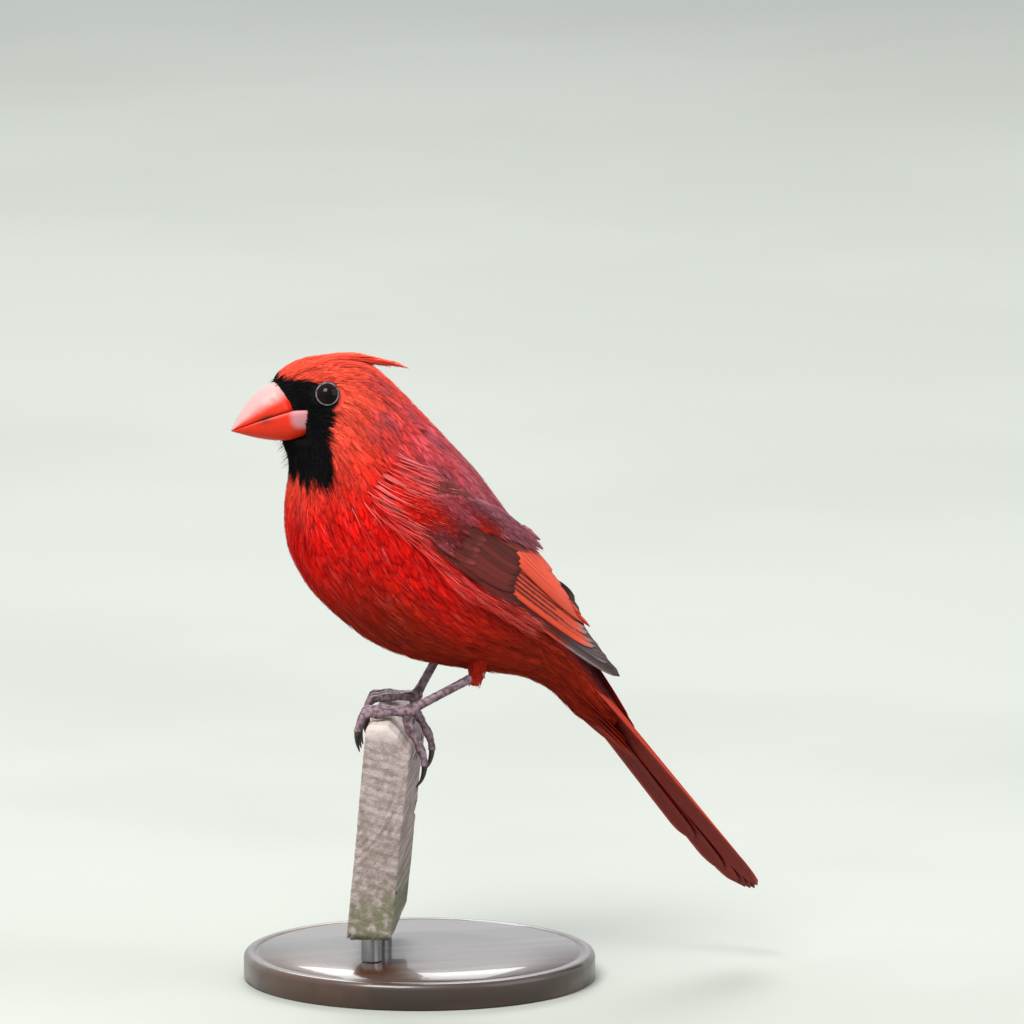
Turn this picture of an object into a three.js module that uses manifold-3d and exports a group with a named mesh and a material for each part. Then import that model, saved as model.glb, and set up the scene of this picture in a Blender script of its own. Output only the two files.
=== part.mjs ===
// A life-size adult male northern cardinal, perched on a cut length of weathered board, on a plain stand.
// Millimetres, +Z up. The bird faces -X, its left side is at -Y, and the origin is the centre of the base's
// underside. The bird is drawn about its own zero: the top of the board, midway between its feet.
import * as THREE from 'three';
import { mergeVertices } from 'three/addons/utils/BufferGeometryUtils.js';
import Module from 'manifold-3d';

const wasm = await Module();
wasm.setup();

// Driving sizes.
const GAP = 0.3; // what touching pieces keep between them
const BODY_SIDES = 22;
const BODY_RINGS = 33;

// The body's outline, station by station from the bill to the tail: the point on the back, the point on the
// front or belly, as [x, z], and half the width there.
const STATIONS = {
  billBase: { back: [-45.6, 98.4], front: [-42.8, 84.6], half: 4.4 },
  forehead: { back: [-42.2, 103.2], front: [-41.0, 80.0], half: 6.6 },
  brow: { back: [-35.5, 106.4], front: [-39.6, 75.6], half: 8.8 },
  crown: { back: [-25.5, 106.9], front: [-39.1, 71.0], half: 12.6 },
  hindCrown: { back: [-15.7, 104.3], front: [-39.7, 66.4], half: 14.4 },
  nape: { back: [-8.0, 98.0], front: [-40.3, 61.4], half: 16.2 },
  neck: { back: [0.1, 89.5], front: [-40.2, 54.6], half: 18.8 },
  shoulder: { back: [9.2, 79.7], front: [-38.0, 46.2], half: 21.8 },
  breast: { back: [16.9, 71.3], front: [-32.4, 36.8], half: 23.6 },
  chest: { back: [23.0, 63.1], front: [-24.4, 28.6], half: 24.4 },
  midBody: { back: [29.4, 54.1], front: [-14.1, 20.5], half: 24.0 },
  belly: { back: [35.2, 45.8], front: [-2.3, 15.2], half: 22.4 },
  flank: { back: [40.0, 37.6], front: [10.2, 12.2], half: 19.6 },
  vent: { back: [44.4, 29.4], front: [21.6, 9.8], half: 16.0 },
  undertail: { back: [48.6, 21.4], front: [32.0, 7.8], half: 12.6 },
  rump: { back: [52.8, 13.6], front: [41.4, 2.8], half: 9.6 },
  tailRoot: { back: [57.2, 5.4], front: [49.4, -5.2], half: 7.6 },
  tailSheath: { back: [62.6, -4.0], front: [57.6, -9.6], half: 6.2 },
};

// The stations where the body is parted into nodes.
const PARTED_AT = ['nape', 'shoulder', 'undertail'];

// How much narrower each ring is towards the throat, by its share of the way along the body.
const PINCH = [[0, 0.24], [0.118, 0.38], [0.18, 0.2], [0.28, 0], [1, 0]];

// The tail: its root inside the rump, its slope, its twist about its own length, and its feathers.
const TAIL = {
  root: [44.6, 15.1],
  slopeDeg: 51.0,
  twistDeg: 15.0,
  length: 97.0,
  vaneHalf: 5.2,
  layer: 0.5, // how far each feather lies below its inner neighbour
  rootStep: 0.35, // how far each root lies outside its inner neighbour's
  tipStep: 1.3, // how far each tip lies outside its inner neighbour's
  camber: 0.012, // how far a vane falls to its edges, for each millimetre across squared
  farShares: [1, 0.995, 0.985, 0.965, 0.905, 0.77],
  nearShares: [0.99, 0.985, 0.98, 0.97, 0.96, 0.945],
};

// The folded wing, on a chart: c runs along the chord from the wrist, 0, to the tip, 1, and off is the
// distance from the chord, down towards the belly. Its sizes are the left wing's, and the right mirrors it.
const WING = {
  wrist: [-8.7, 68.3],
  tip: [59.5, 8.2],
  lowerEdge: [
    [0, 1], [0.1, 9.5], [0.27, 14.4], [0.4, 12.2], [0.6, 7.8], [0.76, 4.9], [0.88, 2.4], [1, 0.4],
  ],
  upperEdge: [
    [0, -1], [0.1, -8.5], [0.27, -14.4], [0.42, -15.6],
    [0.62, -13.9], [0.76, -10.2], [0.88, -5.9], [1, -0.4],
  ],
  stand: 2.0, // how far the wing's face stands off the flank
  atTip: { lateral: 9.4, midline: 0.5, wrap: 6.0 },
  core: { end: 0.62, face: -1.3, swell: 0.7, under: -2.0, depth: 5.0 }, // the arm, from the wing's face
  rootDepth: -1.6, // where the feathers' roots lie, below the wing's face
  shingle: 0.15, // how much higher each feather's lower edge lies, for each millimetre across it
};

// The wing's feathers, row by row. Each row's roots and tips run from its lowest feather to its highest on
// the chart, and its level is how far it lies off the wing's face.
const WING_ROWS = {
  primaries: {
    count: 6, half: 3.1, level: -0.5, steps: 4,
    roots: [[0.47, 8.4], [0.5, 1.6]],
    tips: [[1.0, 0.3], [0.8, -4.4]],
  },
  secondaries: {
    count: 5, half: 3.2, level: 0.05, steps: 3,
    roots: [[0.42, 3.2], [0.4, -6.2]],
    tips: [[0.87, -2.0], [0.75, -8.4]],
  },
  tertials: {
    count: 3, half: 3.8, level: 0.6, steps: 3,
    roots: [[0.38, -7.0], [0.34, -11.6]],
    tips: [[0.81, -7.2], [0.61, -11.4]],
  },
  primaryCoverts: {
    count: 2, half: 2.6, level: 0.4, steps: 3,
    roots: [[0.3, 12.2], [0.3, 9.4]],
    tips: [[0.53, 8.6], [0.48, 5.4]],
  },
  greaterCoverts: {
    count: 4, half: 4.1, level: 1.0, steps: 3,
    roots: [[0.25, 9.0], [0.26, -7.4]],
    tips: [[0.48, 5.2], [0.42, -8.2]],
  },
  alula: {
    count: 1, half: 2.0, level: 0.8, steps: 3,
    roots: [[0.13, 12.0], [0.13, 12.0]],
    tips: [[0.37, 12.4], [0.37, 12.4]],
  },
  medianCoverts: {
    count: 4, half: 3.9, level: 1.5, steps: 3,
    roots: [[0.07, 7.0], [0.09, -6.6]],
    tips: [[0.3, 8.8], [0.27, -7.6]],
  },
  scapulars: {
    count: 3, half: 4.4, level: 1.9, steps: 3,
    roots: [[0.1, -8.4], [0.18, -12.0]],
    tips: [[0.48, -9.8], [0.31, -13.8]],
  },
};
const WING_DRAW = { seed: 11, share: 0.006, aside: 0.25 }; // how far each wing feather's tip strays

// The crest, from its foremost feathers to its hindmost: root, tip, how far it bows up, and half its width.
// A row whose root lies off the middle has its like on the other side.
const CREST_ROWS = [
  { root: [-22, 4.4, 104.6], tip: [-7.6, 3.2, 102.4], bow: 1.2, half: 2.0 },
  { root: [-24, 2.2, 105.6], tip: [-4.4, 1.6, 101.8], bow: 1.8, half: 2.1 },
  { root: [-25, 0, 106.0], tip: [-1.4, 0, 101.4], bow: 2.2, half: 2.1 },
  { root: [-32, 4.4, 104.9], tip: [-13.4, 3.6, 104.8], bow: 0.6, half: 2.2 },
  { root: [-34, 1.4, 105.8], tip: [-12.8, 1.2, 106.1], bow: 0.8, half: 2.2 },
  { root: [-38.4, 0, 104.4], tip: [-21, 0, 107.5], bow: 0.9, half: 2.3 },
];

// The coverts over and under the tail's root: how many, the shares of the tail where they start and end, how
// far off its middle plane they lie at each, and half the width of each.
const TAIL_COVERTS = {
  upper: { count: 5, shares: [0.06, 0.35], heights: [3.8, 1.5], spread: 2.0, half: 2.9 },
  under: { count: 5, shares: [0.1, 0.41], heights: [-7.8, -4.3], spread: 2.0, half: 3.1 },
};

// The board it stands on, in its own cross-section: q across, outwards, and z. The length runs along p.
const BOARD = {
  top: -0.9,
  headingDeg: 22.5, // the board's length, turned from +Y towards +X
  inner: -13.6,
  outer: -0.4,
  topEdge: -7.0, // where the flat top ends and the worn outer bevel begins
  bevelDrop: 8.5,
  corner: 1.2, // the small slant of the inner top edge
  height: 65.0,
  lean: 0.09, // how far each face runs inwards for each millimetre down
  nearEnd: -22.0,
  farEnd: 34.0,
};

const STAND = {
  rodLength: 8.0,
  rodRadius: 3.0,
  rodPlaces: { near: -12, far: 24 }, // along the board
  baseThick: 8.0,
  baseRadius: 52.0,
  baseEdge: 1.5,
  centre: [2.0, 5.0],
};

// The feet: how far each stands from the middle along the board, the toes' radius, and the palm's place.
const FOOT = {
  station: 12.8,
  palm: [-1.6, 2.2],
  palmRadius: 2.0,
  toeRadius: 1.35,
  pad: 0.16, // how far the pads swell
  clawFrom: 0.7,
  clawRoot: 0.95,
  clawTip: 0.16,
};
const LEGS = {
  left: { side: -1, ankle: [16.4, -12.0, 8.9], knee: [19.4, -10.5, 21.0] },
  right: { side: 1, ankle: [10.6, 12.6, 12.2], knee: [18.0, 11.0, 24.0] },
};
const THIGH = { top: 7.4, end: 2.3 };
const SHANK = { radius: 1.3, flare: 0.5 };
const EYE = {
  centre: [-30.5, 8.3, 96.7],
  radius: 3.8,
  lidOut: 1.9,
  lidRadius: 3.75,
  lidThick: 0.55,
  lidTilt: 0.22,
};

// The bill, from its base to its tip: the line of the mouth, the ridge over it and the ridge under it, as
// [x, z], and the shares of its width at its base.
const BILL = {
  mouth: [[-36.4, 92.4], [-41.4, 92.1], [-46.0, 90.8], [-50.2, 89.3], [-54.2, 87.6], [-57.4, 86.1]],
  culmen: [[-40.4, 101.6], [-45.6, 99.2], [-50.0, 96.2], [-53.4, 92.4], [-55.8, 89.0], [-57.6, 86.3]],
  gonys: [[-34.4, 84.2], [-39.6, 82.7], [-44.0, 82.6], [-49.0, 83.4], [-53.4, 84.6], [-57.2, 85.8]],
  halfShares: [1.0, 0.98, 0.84, 0.62, 0.36, 0.05],
  wideAtBase: 7.6,
  nostril: [-46.6, 5.1, 95.2],
  nostrilRadius: 0.75,
};

// Materials.
const finish = (color, roughness) => new THREE.MeshStandardMaterial({ color, roughness, metalness: 0 });
const RED = finish(0xd8261c, 0.8);
const WING_RED = finish(0x8a2f2a, 0.75);
const BILL_ORANGE = finish(0xe8694a, 0.4);
const EYE_DARK = finish(0x120d10, 0.1);
const LEG_BROWN = finish(0x6d4a48, 0.6);
const CLAW_DARK = finish(0x3a2a2a, 0.4);
const OLD_WOOD = finish(0xb9a795, 0.85);
const STAND_WOOD = finish(0x4a3427, 0.45);
const STEEL = finish(0x9a9a9a, 0.35);

// Small tools for shapes.
const mix = (a, b, t) => a + (b - a) * t;
const clamp01 = (t) => Math.min(1, Math.max(0, t));
const radians = THREE.MathUtils.degToRad;
const vec = (x, y, z) => new THREE.Vector3(x, y, z);

// A smooth function through [position, value] pairs, by cubic pieces.
function through(pairs) {
  const slope = (i) => {
    const lo = Math.max(0, i - 1);
    const hi = Math.min(pairs.length - 1, i + 1);
    return (pairs[hi][1] - pairs[lo][1]) / (pairs[hi][0] - pairs[lo][0]);
  };
  return (x) => {
    let i = 0;
    while (i < pairs.length - 2 && x > pairs[i + 1][0]) i++;
    const [x0, y0] = pairs[i];
    const [x1, y1] = pairs[i + 1];
    const w = x1 - x0;
    const t = clamp01((x - x0) / w);
    const t2 = t * t;
    const t3 = t2 * t;
    return y0 * (2 * t3 - 3 * t2 + 1) + slope(i) * w * (t3 - 2 * t2 + t)
      + y1 * (3 * t2 - 2 * t3) + slope(i + 1) * w * (t3 - t2);
  };
}

// A geometry from points and triangles.
function geometryOf(points, faces) {
  const g = new THREE.BufferGeometry();
  const flat = points.flatMap((p) => [p.x, p.y, p.z]);
  g.setAttribute('position', new THREE.Float32BufferAttribute(flat, 3));
  g.setIndex(faces.flat());
  return g;
}

// A closed skin over rings of equal count, with a fan over each end. Where the two faces are to be split
// alike, the back half of each ring takes the other diagonal.
function loft(rings, alike = false) {
  const n = rings[0].length;
  const points = rings.flat();
  const faces = [];
  for (let i = 0; i + 1 < rings.length; i++) {
    for (let j = 0; j < n; j++) {
      const a = i * n + j;
      const b = i * n + ((j + 1) % n);
      const crossed = alike && j >= n / 2;
      faces.push(...(crossed ? [[a, b, a + n], [b, b + n, a + n]] : [[a, b, b + n], [a, b + n, a + n]]));
    }
  }
  const middle = (ring) => ring.reduce((s, p) => s.add(p), vec(0, 0, 0)).divideScalar(n);
  const last = (rings.length - 1) * n;
  points.push(middle(rings[0]), middle(rings[rings.length - 1]));
  for (let j = 0; j < n; j++) {
    const k = (j + 1) % n;
    faces.push([points.length - 2, k, j], [points.length - 1, last + j, last + k]);
  }
  return geometryOf(points, faces);
}

// A solid from a closed geometry, turned the right way out.
function solid(geometry) {
  const g = geometry.clone();
  g.deleteAttribute('normal');
  g.deleteAttribute('uv');
  const merged = mergeVertices(g, 1e-4);
  const mesh = {
    numProp: 3,
    vertProperties: merged.attributes.position.array,
    triVerts: new Uint32Array(merged.index.array),
  };
  const made = new wasm.Manifold(new wasm.Mesh(mesh));
  if (made.volume() > 0) return made;
  for (let i = 0; i < mesh.triVerts.length; i += 3) {
    [mesh.triVerts[i + 1], mesh.triVerts[i + 2]] = [mesh.triVerts[i + 2], mesh.triVerts[i + 1]];
  }
  return new wasm.Manifold(new wasm.Mesh(mesh));
}

// The same closed shape with its skin moved out by a distance.
function grown(geometry, distance) {
  const g = geometry.clone();
  g.deleteAttribute('normal');
  g.deleteAttribute('uv');
  const merged = mergeVertices(g, 1e-4);
  merged.computeVertexNormals();
  const sign = signedVolume(merged) < 0 ? -1 : 1;
  const points = pointsOf(merged).map((p, i) => p.addScaledVector(
    vec().fromBufferAttribute(merged.attributes.normal, i), sign * distance,
  ));
  return geometryOf(points, facesOf(merged));
}

function pointsOf(geometry) {
  const at = geometry.attributes.position;
  return Array.from({ length: at.count }, (_, i) => new THREE.Vector3().fromBufferAttribute(at, i));
}

function facesOf(geometry) {
  const index = Array.from(geometry.index.array);
  return Array.from({ length: index.length / 3 }, (_, i) => index.slice(3 * i, 3 * i + 3));
}

function signedVolume(geometry) {
  const points = pointsOf(geometry);
  const cone = ([a, b, c]) => points[a].dot(points[b].clone().cross(points[c])) / 6;
  return facesOf(geometry).reduce((sum, face) => sum + cone(face), 0);
}

// Joins solids, and keeps the largest closed piece of what comes of it.
const join = (solids) => solids.reduce((all, s) => all.add(s));
const joinAll = (geometries) => join(geometries.map(solid));
const clearOf = (geometries) => join(geometries.map((g) => solid(grown(g, GAP))));
const largest = (made) => made.decompose().reduce((a, b) => (b.volume() > a.volume() ? b : a));

// A named node from a solid.
function node(name, made, material) {
  const m = largest(made).getMesh();
  const g = new THREE.BufferGeometry();
  g.setAttribute('position', new THREE.Float32BufferAttribute(Array.from(m.vertProperties), 3));
  g.setIndex(Array.from(m.triVerts));
  g.computeVertexNormals();
  const mesh = new THREE.Mesh(g, material);
  mesh.name = name;
  return mesh;
}

// A round limb along a smooth path, its radius a function of the share of the way along.
function limb(path, radius, { sides = 8, steps = 8, from = 0, to = 1 } = {}) {
  const curve = new THREE.CatmullRomCurve3(path);
  const rings = [];
  let side = vec(0.3, 0.9, 0.31);
  for (let i = 0; i <= steps; i++) {
    const t = mix(from, to, i / steps);
    const along = curve.getTangentAt(t);
    side = side.clone().addScaledVector(along, -side.dot(along)).normalize();
    const up = along.clone().cross(side);
    const centre = curve.getPointAt(t);
    const across = side.clone();
    rings.push(Array.from({ length: sides }, (_, j) => {
      const turn = (2 * Math.PI * j) / sides;
      return centre.clone()
        .addScaledVector(across, radius(t) * Math.cos(turn))
        .addScaledVector(up, radius(t) * Math.sin(turn));
    }));
  }
  return loft(rings);
}

// The left-hand shape mirrored in the bird's middle plane.
const mirrored = (made) => made.mirror([0, 1, 0]);

// Seeded draws between -1 and 1.
function seeded(seed) {
  let state = seed;
  return () => {
    state = (state * 1664525 + 1013904223) % 4294967296;
    return state / 2147483648 - 1;
  };
}

// The body as one skin.
const stations = Object.values(STATIONS);
const backLine = new THREE.CatmullRomCurve3(stations.map((s) => vec(s.back[0], s.half, s.back[1])));
const frontLine = new THREE.CatmullRomCurve3(stations.map((s) => vec(s.front[0], s.half, s.front[1])));
const stationShare = (name) => Object.keys(STATIONS).indexOf(name) / (stations.length - 1);

const pinch = through(PINCH);

function bodyRing(t) {
  const back = backLine.getPoint(t);
  const front = frontLine.getPoint(t);
  return Array.from({ length: BODY_SIDES }, (_, j) => {
    const turn = (2 * Math.PI * j) / BODY_SIDES;
    const up = Math.cos(turn) / 2 + 0.5;
    const half = back.y * (1 - pinch(t) * (1 - up));
    return vec(mix(front.x, back.x, up), half * Math.sin(turn), mix(front.z, back.z, up));
  });
}

const bodyGeometry = loft(Array.from({ length: BODY_RINGS + 1 }, (_, i) => bodyRing(i / BODY_RINGS)));

// A thin slab in the plane of one station, to part the body there.
function slabAt(name) {
  const t = stationShare(name);
  const over = 24;
  const wide = 2 * backLine.getPoint(t).y + over;
  const back = backLine.getPoint(t).setY(0);
  const front = frontLine.getPoint(t).setY(0);
  const slab = new THREE.BoxGeometry(GAP, wide, back.distanceTo(front) + over);
  slab.rotateY(Math.atan2(back.x - front.x, back.z - front.z));
  const middle = back.clone().add(front).divideScalar(2);
  slab.translate(middle.x, 0, middle.z);
  return solid(slab);
}

// The bill: each mandible is a loft of half-round sections between its ridge and the line of the mouth.
function mandible(ridge, drop) {
  const ridgeLine = new THREE.CatmullRomCurve3(ridge.map(([x, z]) => vec(x, 0, z)));
  const rimPoints = BILL.mouth.map(([x, z], i) => vec(x, BILL.halfShares[i] * BILL.wideAtBase, z + drop));
  const edge = new THREE.CatmullRomCurve3(rimPoints);
  const rings = [];
  const steps = 9;
  const sides = 8;
  const seam = 0.06;
  for (let i = 0; i <= steps; i++) {
    const top = ridgeLine.getPoint(i / steps);
    const rim = edge.getPoint(i / steps);
    const ring = [];
    for (let j = 0; j <= sides; j++) {
      const turn = (Math.PI * j) / sides;
      const up = Math.sin(turn) ** 0.9;
      ring.push(vec(mix(rim.x, top.x, up), rim.y * Math.cos(turn), mix(rim.z, top.z, up)));
    }
    ring.push(vec(mix(rim.x, top.x, seam), 0, mix(rim.z, top.z, seam)));
    rings.push(ring);
  }
  return loft(rings);
}

const upperGeometry = mandible(BILL.culmen, GAP / 2);
const lowerGeometry = mandible(BILL.gonys, -GAP / 2);

function eyeSolid(side, radius) {
  const ball = new THREE.SphereGeometry(radius, 14, 9);
  ball.translate(EYE.centre[0], side * EYE.centre[1], EYE.centre[2]);
  return solid(ball);
}

function lidRing(side) {
  const ring = new THREE.TorusGeometry(EYE.lidRadius, EYE.lidThick, 5, 14);
  ring.rotateX(Math.PI / 2);
  ring.rotateZ(-side * EYE.lidTilt);
  ring.translate(EYE.centre[0], side * (EYE.centre[1] + EYE.lidOut), EYE.centre[2]);
  return solid(ring);
}

function nostril(side) {
  const pit = new THREE.SphereGeometry(BILL.nostrilRadius, 8, 6);
  pit.translate(BILL.nostril[0], side * BILL.nostril[1], BILL.nostril[2]);
  return solid(pit);
}

// A thin vane whose place is a function of the share along it, the distance across it and the height. It
// widens from its root, and its tip is rounded.
function vane(place, { half, thick, steps = 4, tipFrom = 0.7, rootShare = 0.5, columns = 2, ridge = 0 }) {
  const across = Array.from({ length: columns }, (_, j) => (2 * j) / (columns - 1) - 1);
  const rings = [];
  for (let i = 0; i <= steps; i++) {
    const u = 1 - (1 - i / steps) ** 1.35;
    const rounding = Math.sqrt(Math.max(0, 1 - (Math.max(0, u - tipFrom) / (1 - tipFrom)) ** 2));
    const wide = half * Math.min(1, mix(rootShare, 1, Math.min(1, 3 * u))) * Math.max(rounding, 0.15);
    const deep = (thick / 2) * mix(1, 0.7, u);
    const hump = (v) => ridge * (1 - Math.abs(v)) * (1 - u);
    const upper = across.map((v) => place(u, v * wide, deep + hump(v)));
    const lower = across.map((v) => place(u, v * wide, hump(v) - deep));
    rings.push([...upper, ...lower.reverse()]);
  }
  return loft(rings, true);
}

// A crest feather, laid back along the crown, on one side or the other.
function crestVane({ root, tip, bow, half }, side) {
  const start = vec(root[0], side * root[1], root[2]);
  const end = vec(tip[0], side * tip[1], tip[2]);
  const along = end.clone().sub(start).normalize();
  const across = vec(0, 1, 0).addScaledVector(along, -along.y).normalize();
  const up = along.clone().cross(across);
  return vane((u, w, h) => {
    const slope = -0.1 * side * Math.sign(root[1]) * w;
    return start.clone().lerp(end, u)
      .addScaledVector(across, w)
      .addScaledVector(up, h + slope + bow * Math.sin(Math.PI * u ** 0.8));
  }, { half, thick: 1.0, steps: 3, tipFrom: 0.4, rootShare: 0.7 });
}

const crestVanes = CREST_ROWS.flatMap((row) => {
  const sides = row.root[1] === 0 ? [1] : [-1, 1];
  return sides.map((side) => crestVane(row, side));
});

// The wing's chart carried on to the bird's side.
const wingSpan = vec(WING.tip[0] - WING.wrist[0], 0, WING.tip[1] - WING.wrist[1]);
const chord = wingSpan.length();
const alongChord = wingSpan.clone().normalize();
const downChord = vec(alongChord.z, 0, -alongChord.x);
const lowerEdge = through(WING.lowerEdge);
const upperEdge = through(WING.upperEdge);
const flank = stations.slice(Object.keys(STATIONS).indexOf('shoulder'), -3).map(({ back, front, half }) => {
  const middle = vec((back[0] + front[0]) / 2 - WING.wrist[0], 0, (back[1] + front[1]) / 2 - WING.wrist[1]);
  return {
    c: middle.dot(alongChord) / chord,
    lateral: half + WING.stand,
    midline: middle.dot(downChord),
    wrap: Math.hypot(back[0] - front[0], back[1] - front[1]) / 2 + WING.stand,
  };
});
const overFlank = (key) => through([...flank.map((f) => [f.c, f[key]]), [1, WING.atTip[key]]]);
const lateral = overFlank('lateral');
const midline = overFlank('midline');
const wrap = overFlank('wrap');

function wingFace(c, off) {
  const round = Math.sqrt(Math.max(0.03, 1 - ((off - midline(c)) / wrap(c)) ** 2));
  return vec(WING.wrist[0], 0, WING.wrist[1]).addScaledVector(alongChord, c * chord)
    .addScaledVector(downChord, off).setY(-lateral(c) * round);
}

function wingNormal(c, off) {
  const step = 0.01;
  const a = wingFace(c + step, off).sub(wingFace(c - step, off));
  const b = wingFace(c, off + 1).sub(wingFace(c, off - 1));
  const n = a.cross(b).normalize();
  return n.y > 0 ? n.negate() : n;
}

const wingPoint = (c, off, h) => wingFace(c, off).addScaledVector(wingNormal(c, off), h);

// The wing's core: the arm under its coverts, closed against the flank.
function wingCore({ end, face, swell, under, depth }) {
  const rings = [];
  const rows = 9;
  const across = 6;
  for (let i = 0; i <= rows; i++) {
    const c = mix(0.01, end, i / rows);
    const outside = [];
    const inside = [];
    for (let j = 0; j <= across; j++) {
      const v = j / across;
      const off = mix(lowerEdge(c), upperEdge(c), v);
      const rim = Math.sqrt(1 - (2 * v - 1) ** 2);
      outside.push(wingPoint(c, off, face + swell * rim));
      inside.unshift(wingPoint(c, off, under - depth * rim * clamp01(1.4 * (1 - c))));
    }
    rings.push([...outside, ...inside]);
  }
  return loft(rings);
}

// A feather of the wing, from its root to its tip on the chart.
function wingVane(root, tip, { half, level, steps }) {
  const run = [(tip[0] - root[0]) * chord, tip[1] - root[1]];
  const length = Math.hypot(...run);
  return vane((u, w, h) => {
    const c = mix(root[0], tip[0], u) - (w * run[1]) / (length * chord);
    const off = mix(root[1], tip[1], u) + (w * run[0]) / length;
    return wingPoint(c, off, mix(WING.rootDepth, level, clamp01(u / 0.3)) + WING.shingle * w + h);
  }, { half, thick: 0.8, steps, tipFrom: 0.72, rootShare: 0.55 });
}

const wingDraw = seeded(WING_DRAW.seed);
const wingVanes = Object.values(WING_ROWS).flatMap((row) => Array.from({ length: row.count }, (_, i) => {
  const share = row.count === 1 ? 0 : i / (row.count - 1);
  const root = row.roots[0].map((r, k) => mix(r, row.roots[1][k], share));
  const tip = row.tips[0].map((r, k) => mix(r, row.tips[1][k], share));
  const strayed = [tip[0] + WING_DRAW.share * wingDraw(), tip[1] + WING_DRAW.aside * wingDraw()];
  return wingVane(root, strayed, row);
}));

// The tail's own frame: along it, across it and up from its back.
const tailAlong = vec(Math.cos(radians(TAIL.slopeDeg)), 0, -Math.sin(radians(TAIL.slopeDeg)));
const tailBack = vec(Math.sin(radians(TAIL.slopeDeg)), 0, Math.cos(radians(TAIL.slopeDeg)));
const tailAcross = vec(0, 1, 0);
tailBack.applyAxisAngle(tailAlong, radians(-TAIL.twistDeg));
tailAcross.applyAxisAngle(tailAlong, radians(-TAIL.twistDeg));

function tailPoint(u, w, h) {
  return vec(TAIL.root[0], 0, TAIL.root[1]).addScaledVector(tailAlong, TAIL.length * u)
    .addScaledVector(tailAcross, w).addScaledVector(tailBack, h);
}

// The tail's feathers: the middle pair on top, and each next pair a layer lower and further out.
const tailSides = [[TAIL.nearShares, -1], [TAIL.farShares, 1]];
const tailVanes = tailSides.flatMap(([shares, side]) => shares.map((share, k) => {
  const root = side * (0.5 + TAIL.rootStep * k);
  const tip = side * (1.2 + TAIL.tipStep * k);
  const height = -TAIL.layer * (k + (side > 0 ? 0.5 : 0));
  return vane(
    (u, w, h) => tailPoint(u * share, mix(root, tip, u ** 0.9) + w, height + h - TAIL.camber * w * w),
    { half: TAIL.vaneHalf, thick: 0.9, steps: 5, tipFrom: 0.88, rootShare: 0.6, columns: 3, ridge: 0.3 },
  );
}));

// The coverts round the tail's root, rooted in the rump.
function tailCoverts({ count, shares, heights, spread, half }) {
  return Array.from({ length: count }, (_, i) => {
    const place = i - (count - 1) / 2;
    const end = shares[1] - 0.03 * Math.abs(place);
    const lift = place % 2 === 0 ? 0.3 * Math.sign(heights[0]) : 0;
    return vane((u, w, h) => {
      const height = mix(heights[0], heights[1], u) + lift + h;
      return tailPoint(mix(shares[0], end, u), spread * place + w, height);
    }, { half, thick: 0.9, steps: 3, tipFrom: 0.5, rootShare: 0.7 });
  });
}

const upperCoverts = tailCoverts(TAIL_COVERTS.upper);
const underCoverts = tailCoverts(TAIL_COVERTS.under);

// The board's frame: q across, p along.
const heading = radians(BOARD.headingDeg);
const boardPoint = (q, p, z) => vec(
  q * Math.cos(heading) + p * Math.sin(heading),
  -q * Math.sin(heading) + p * Math.cos(heading),
  BOARD.top + z,
);

function board() {
  const drop = BOARD.lean * BOARD.height;
  const outline = [
    [BOARD.inner - drop, -BOARD.height], [BOARD.outer - drop, -BOARD.height],
    [BOARD.outer, -BOARD.bevelDrop], [BOARD.topEdge, 0],
    [BOARD.inner + BOARD.corner, 0], [BOARD.inner, -BOARD.corner],
  ];
  const steps = 2;
  return loft(Array.from({ length: steps + 1 }, (_, i) => {
    const p = mix(BOARD.nearEnd, BOARD.farEnd, i / steps);
    return outline.map(([q, z]) => boardPoint(q, p, z));
  }));
}

// A toe's path over the board, in its cross-section, and how far it swings along the board.
const FRONT_PATH = [
  FOOT.palm, [-6.6, 2.3], [-11.6, 2.1], [-14.8, 1.3], [-16.2, -2.4], [-16.4, -5.8], [-15.7, -9.0],
];
const HIND_PATH = [
  FOOT.palm, [-2.3, -0.4], [-1.1, -3.6], [1.0, -7.2], [2.6, -11.0], [3.0, -14.4], [2.2, -18.0], [0.4, -20.6],
];
const TOES = [
  { name: 'inner', path: FRONT_PATH, swing: -0.42 },
  { name: 'middle', path: FRONT_PATH, swing: 0.0 },
  { name: 'outer', path: FRONT_PATH, swing: 0.42 },
  { name: 'hind', path: HIND_PATH, swing: 0.05 },
];

function toePath(toe, p, side) {
  return toe.path.map(([q, z]) => boardPoint(q, p + side * toe.swing * Math.abs(q - FOOT.palm[0]), z));
}

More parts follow.
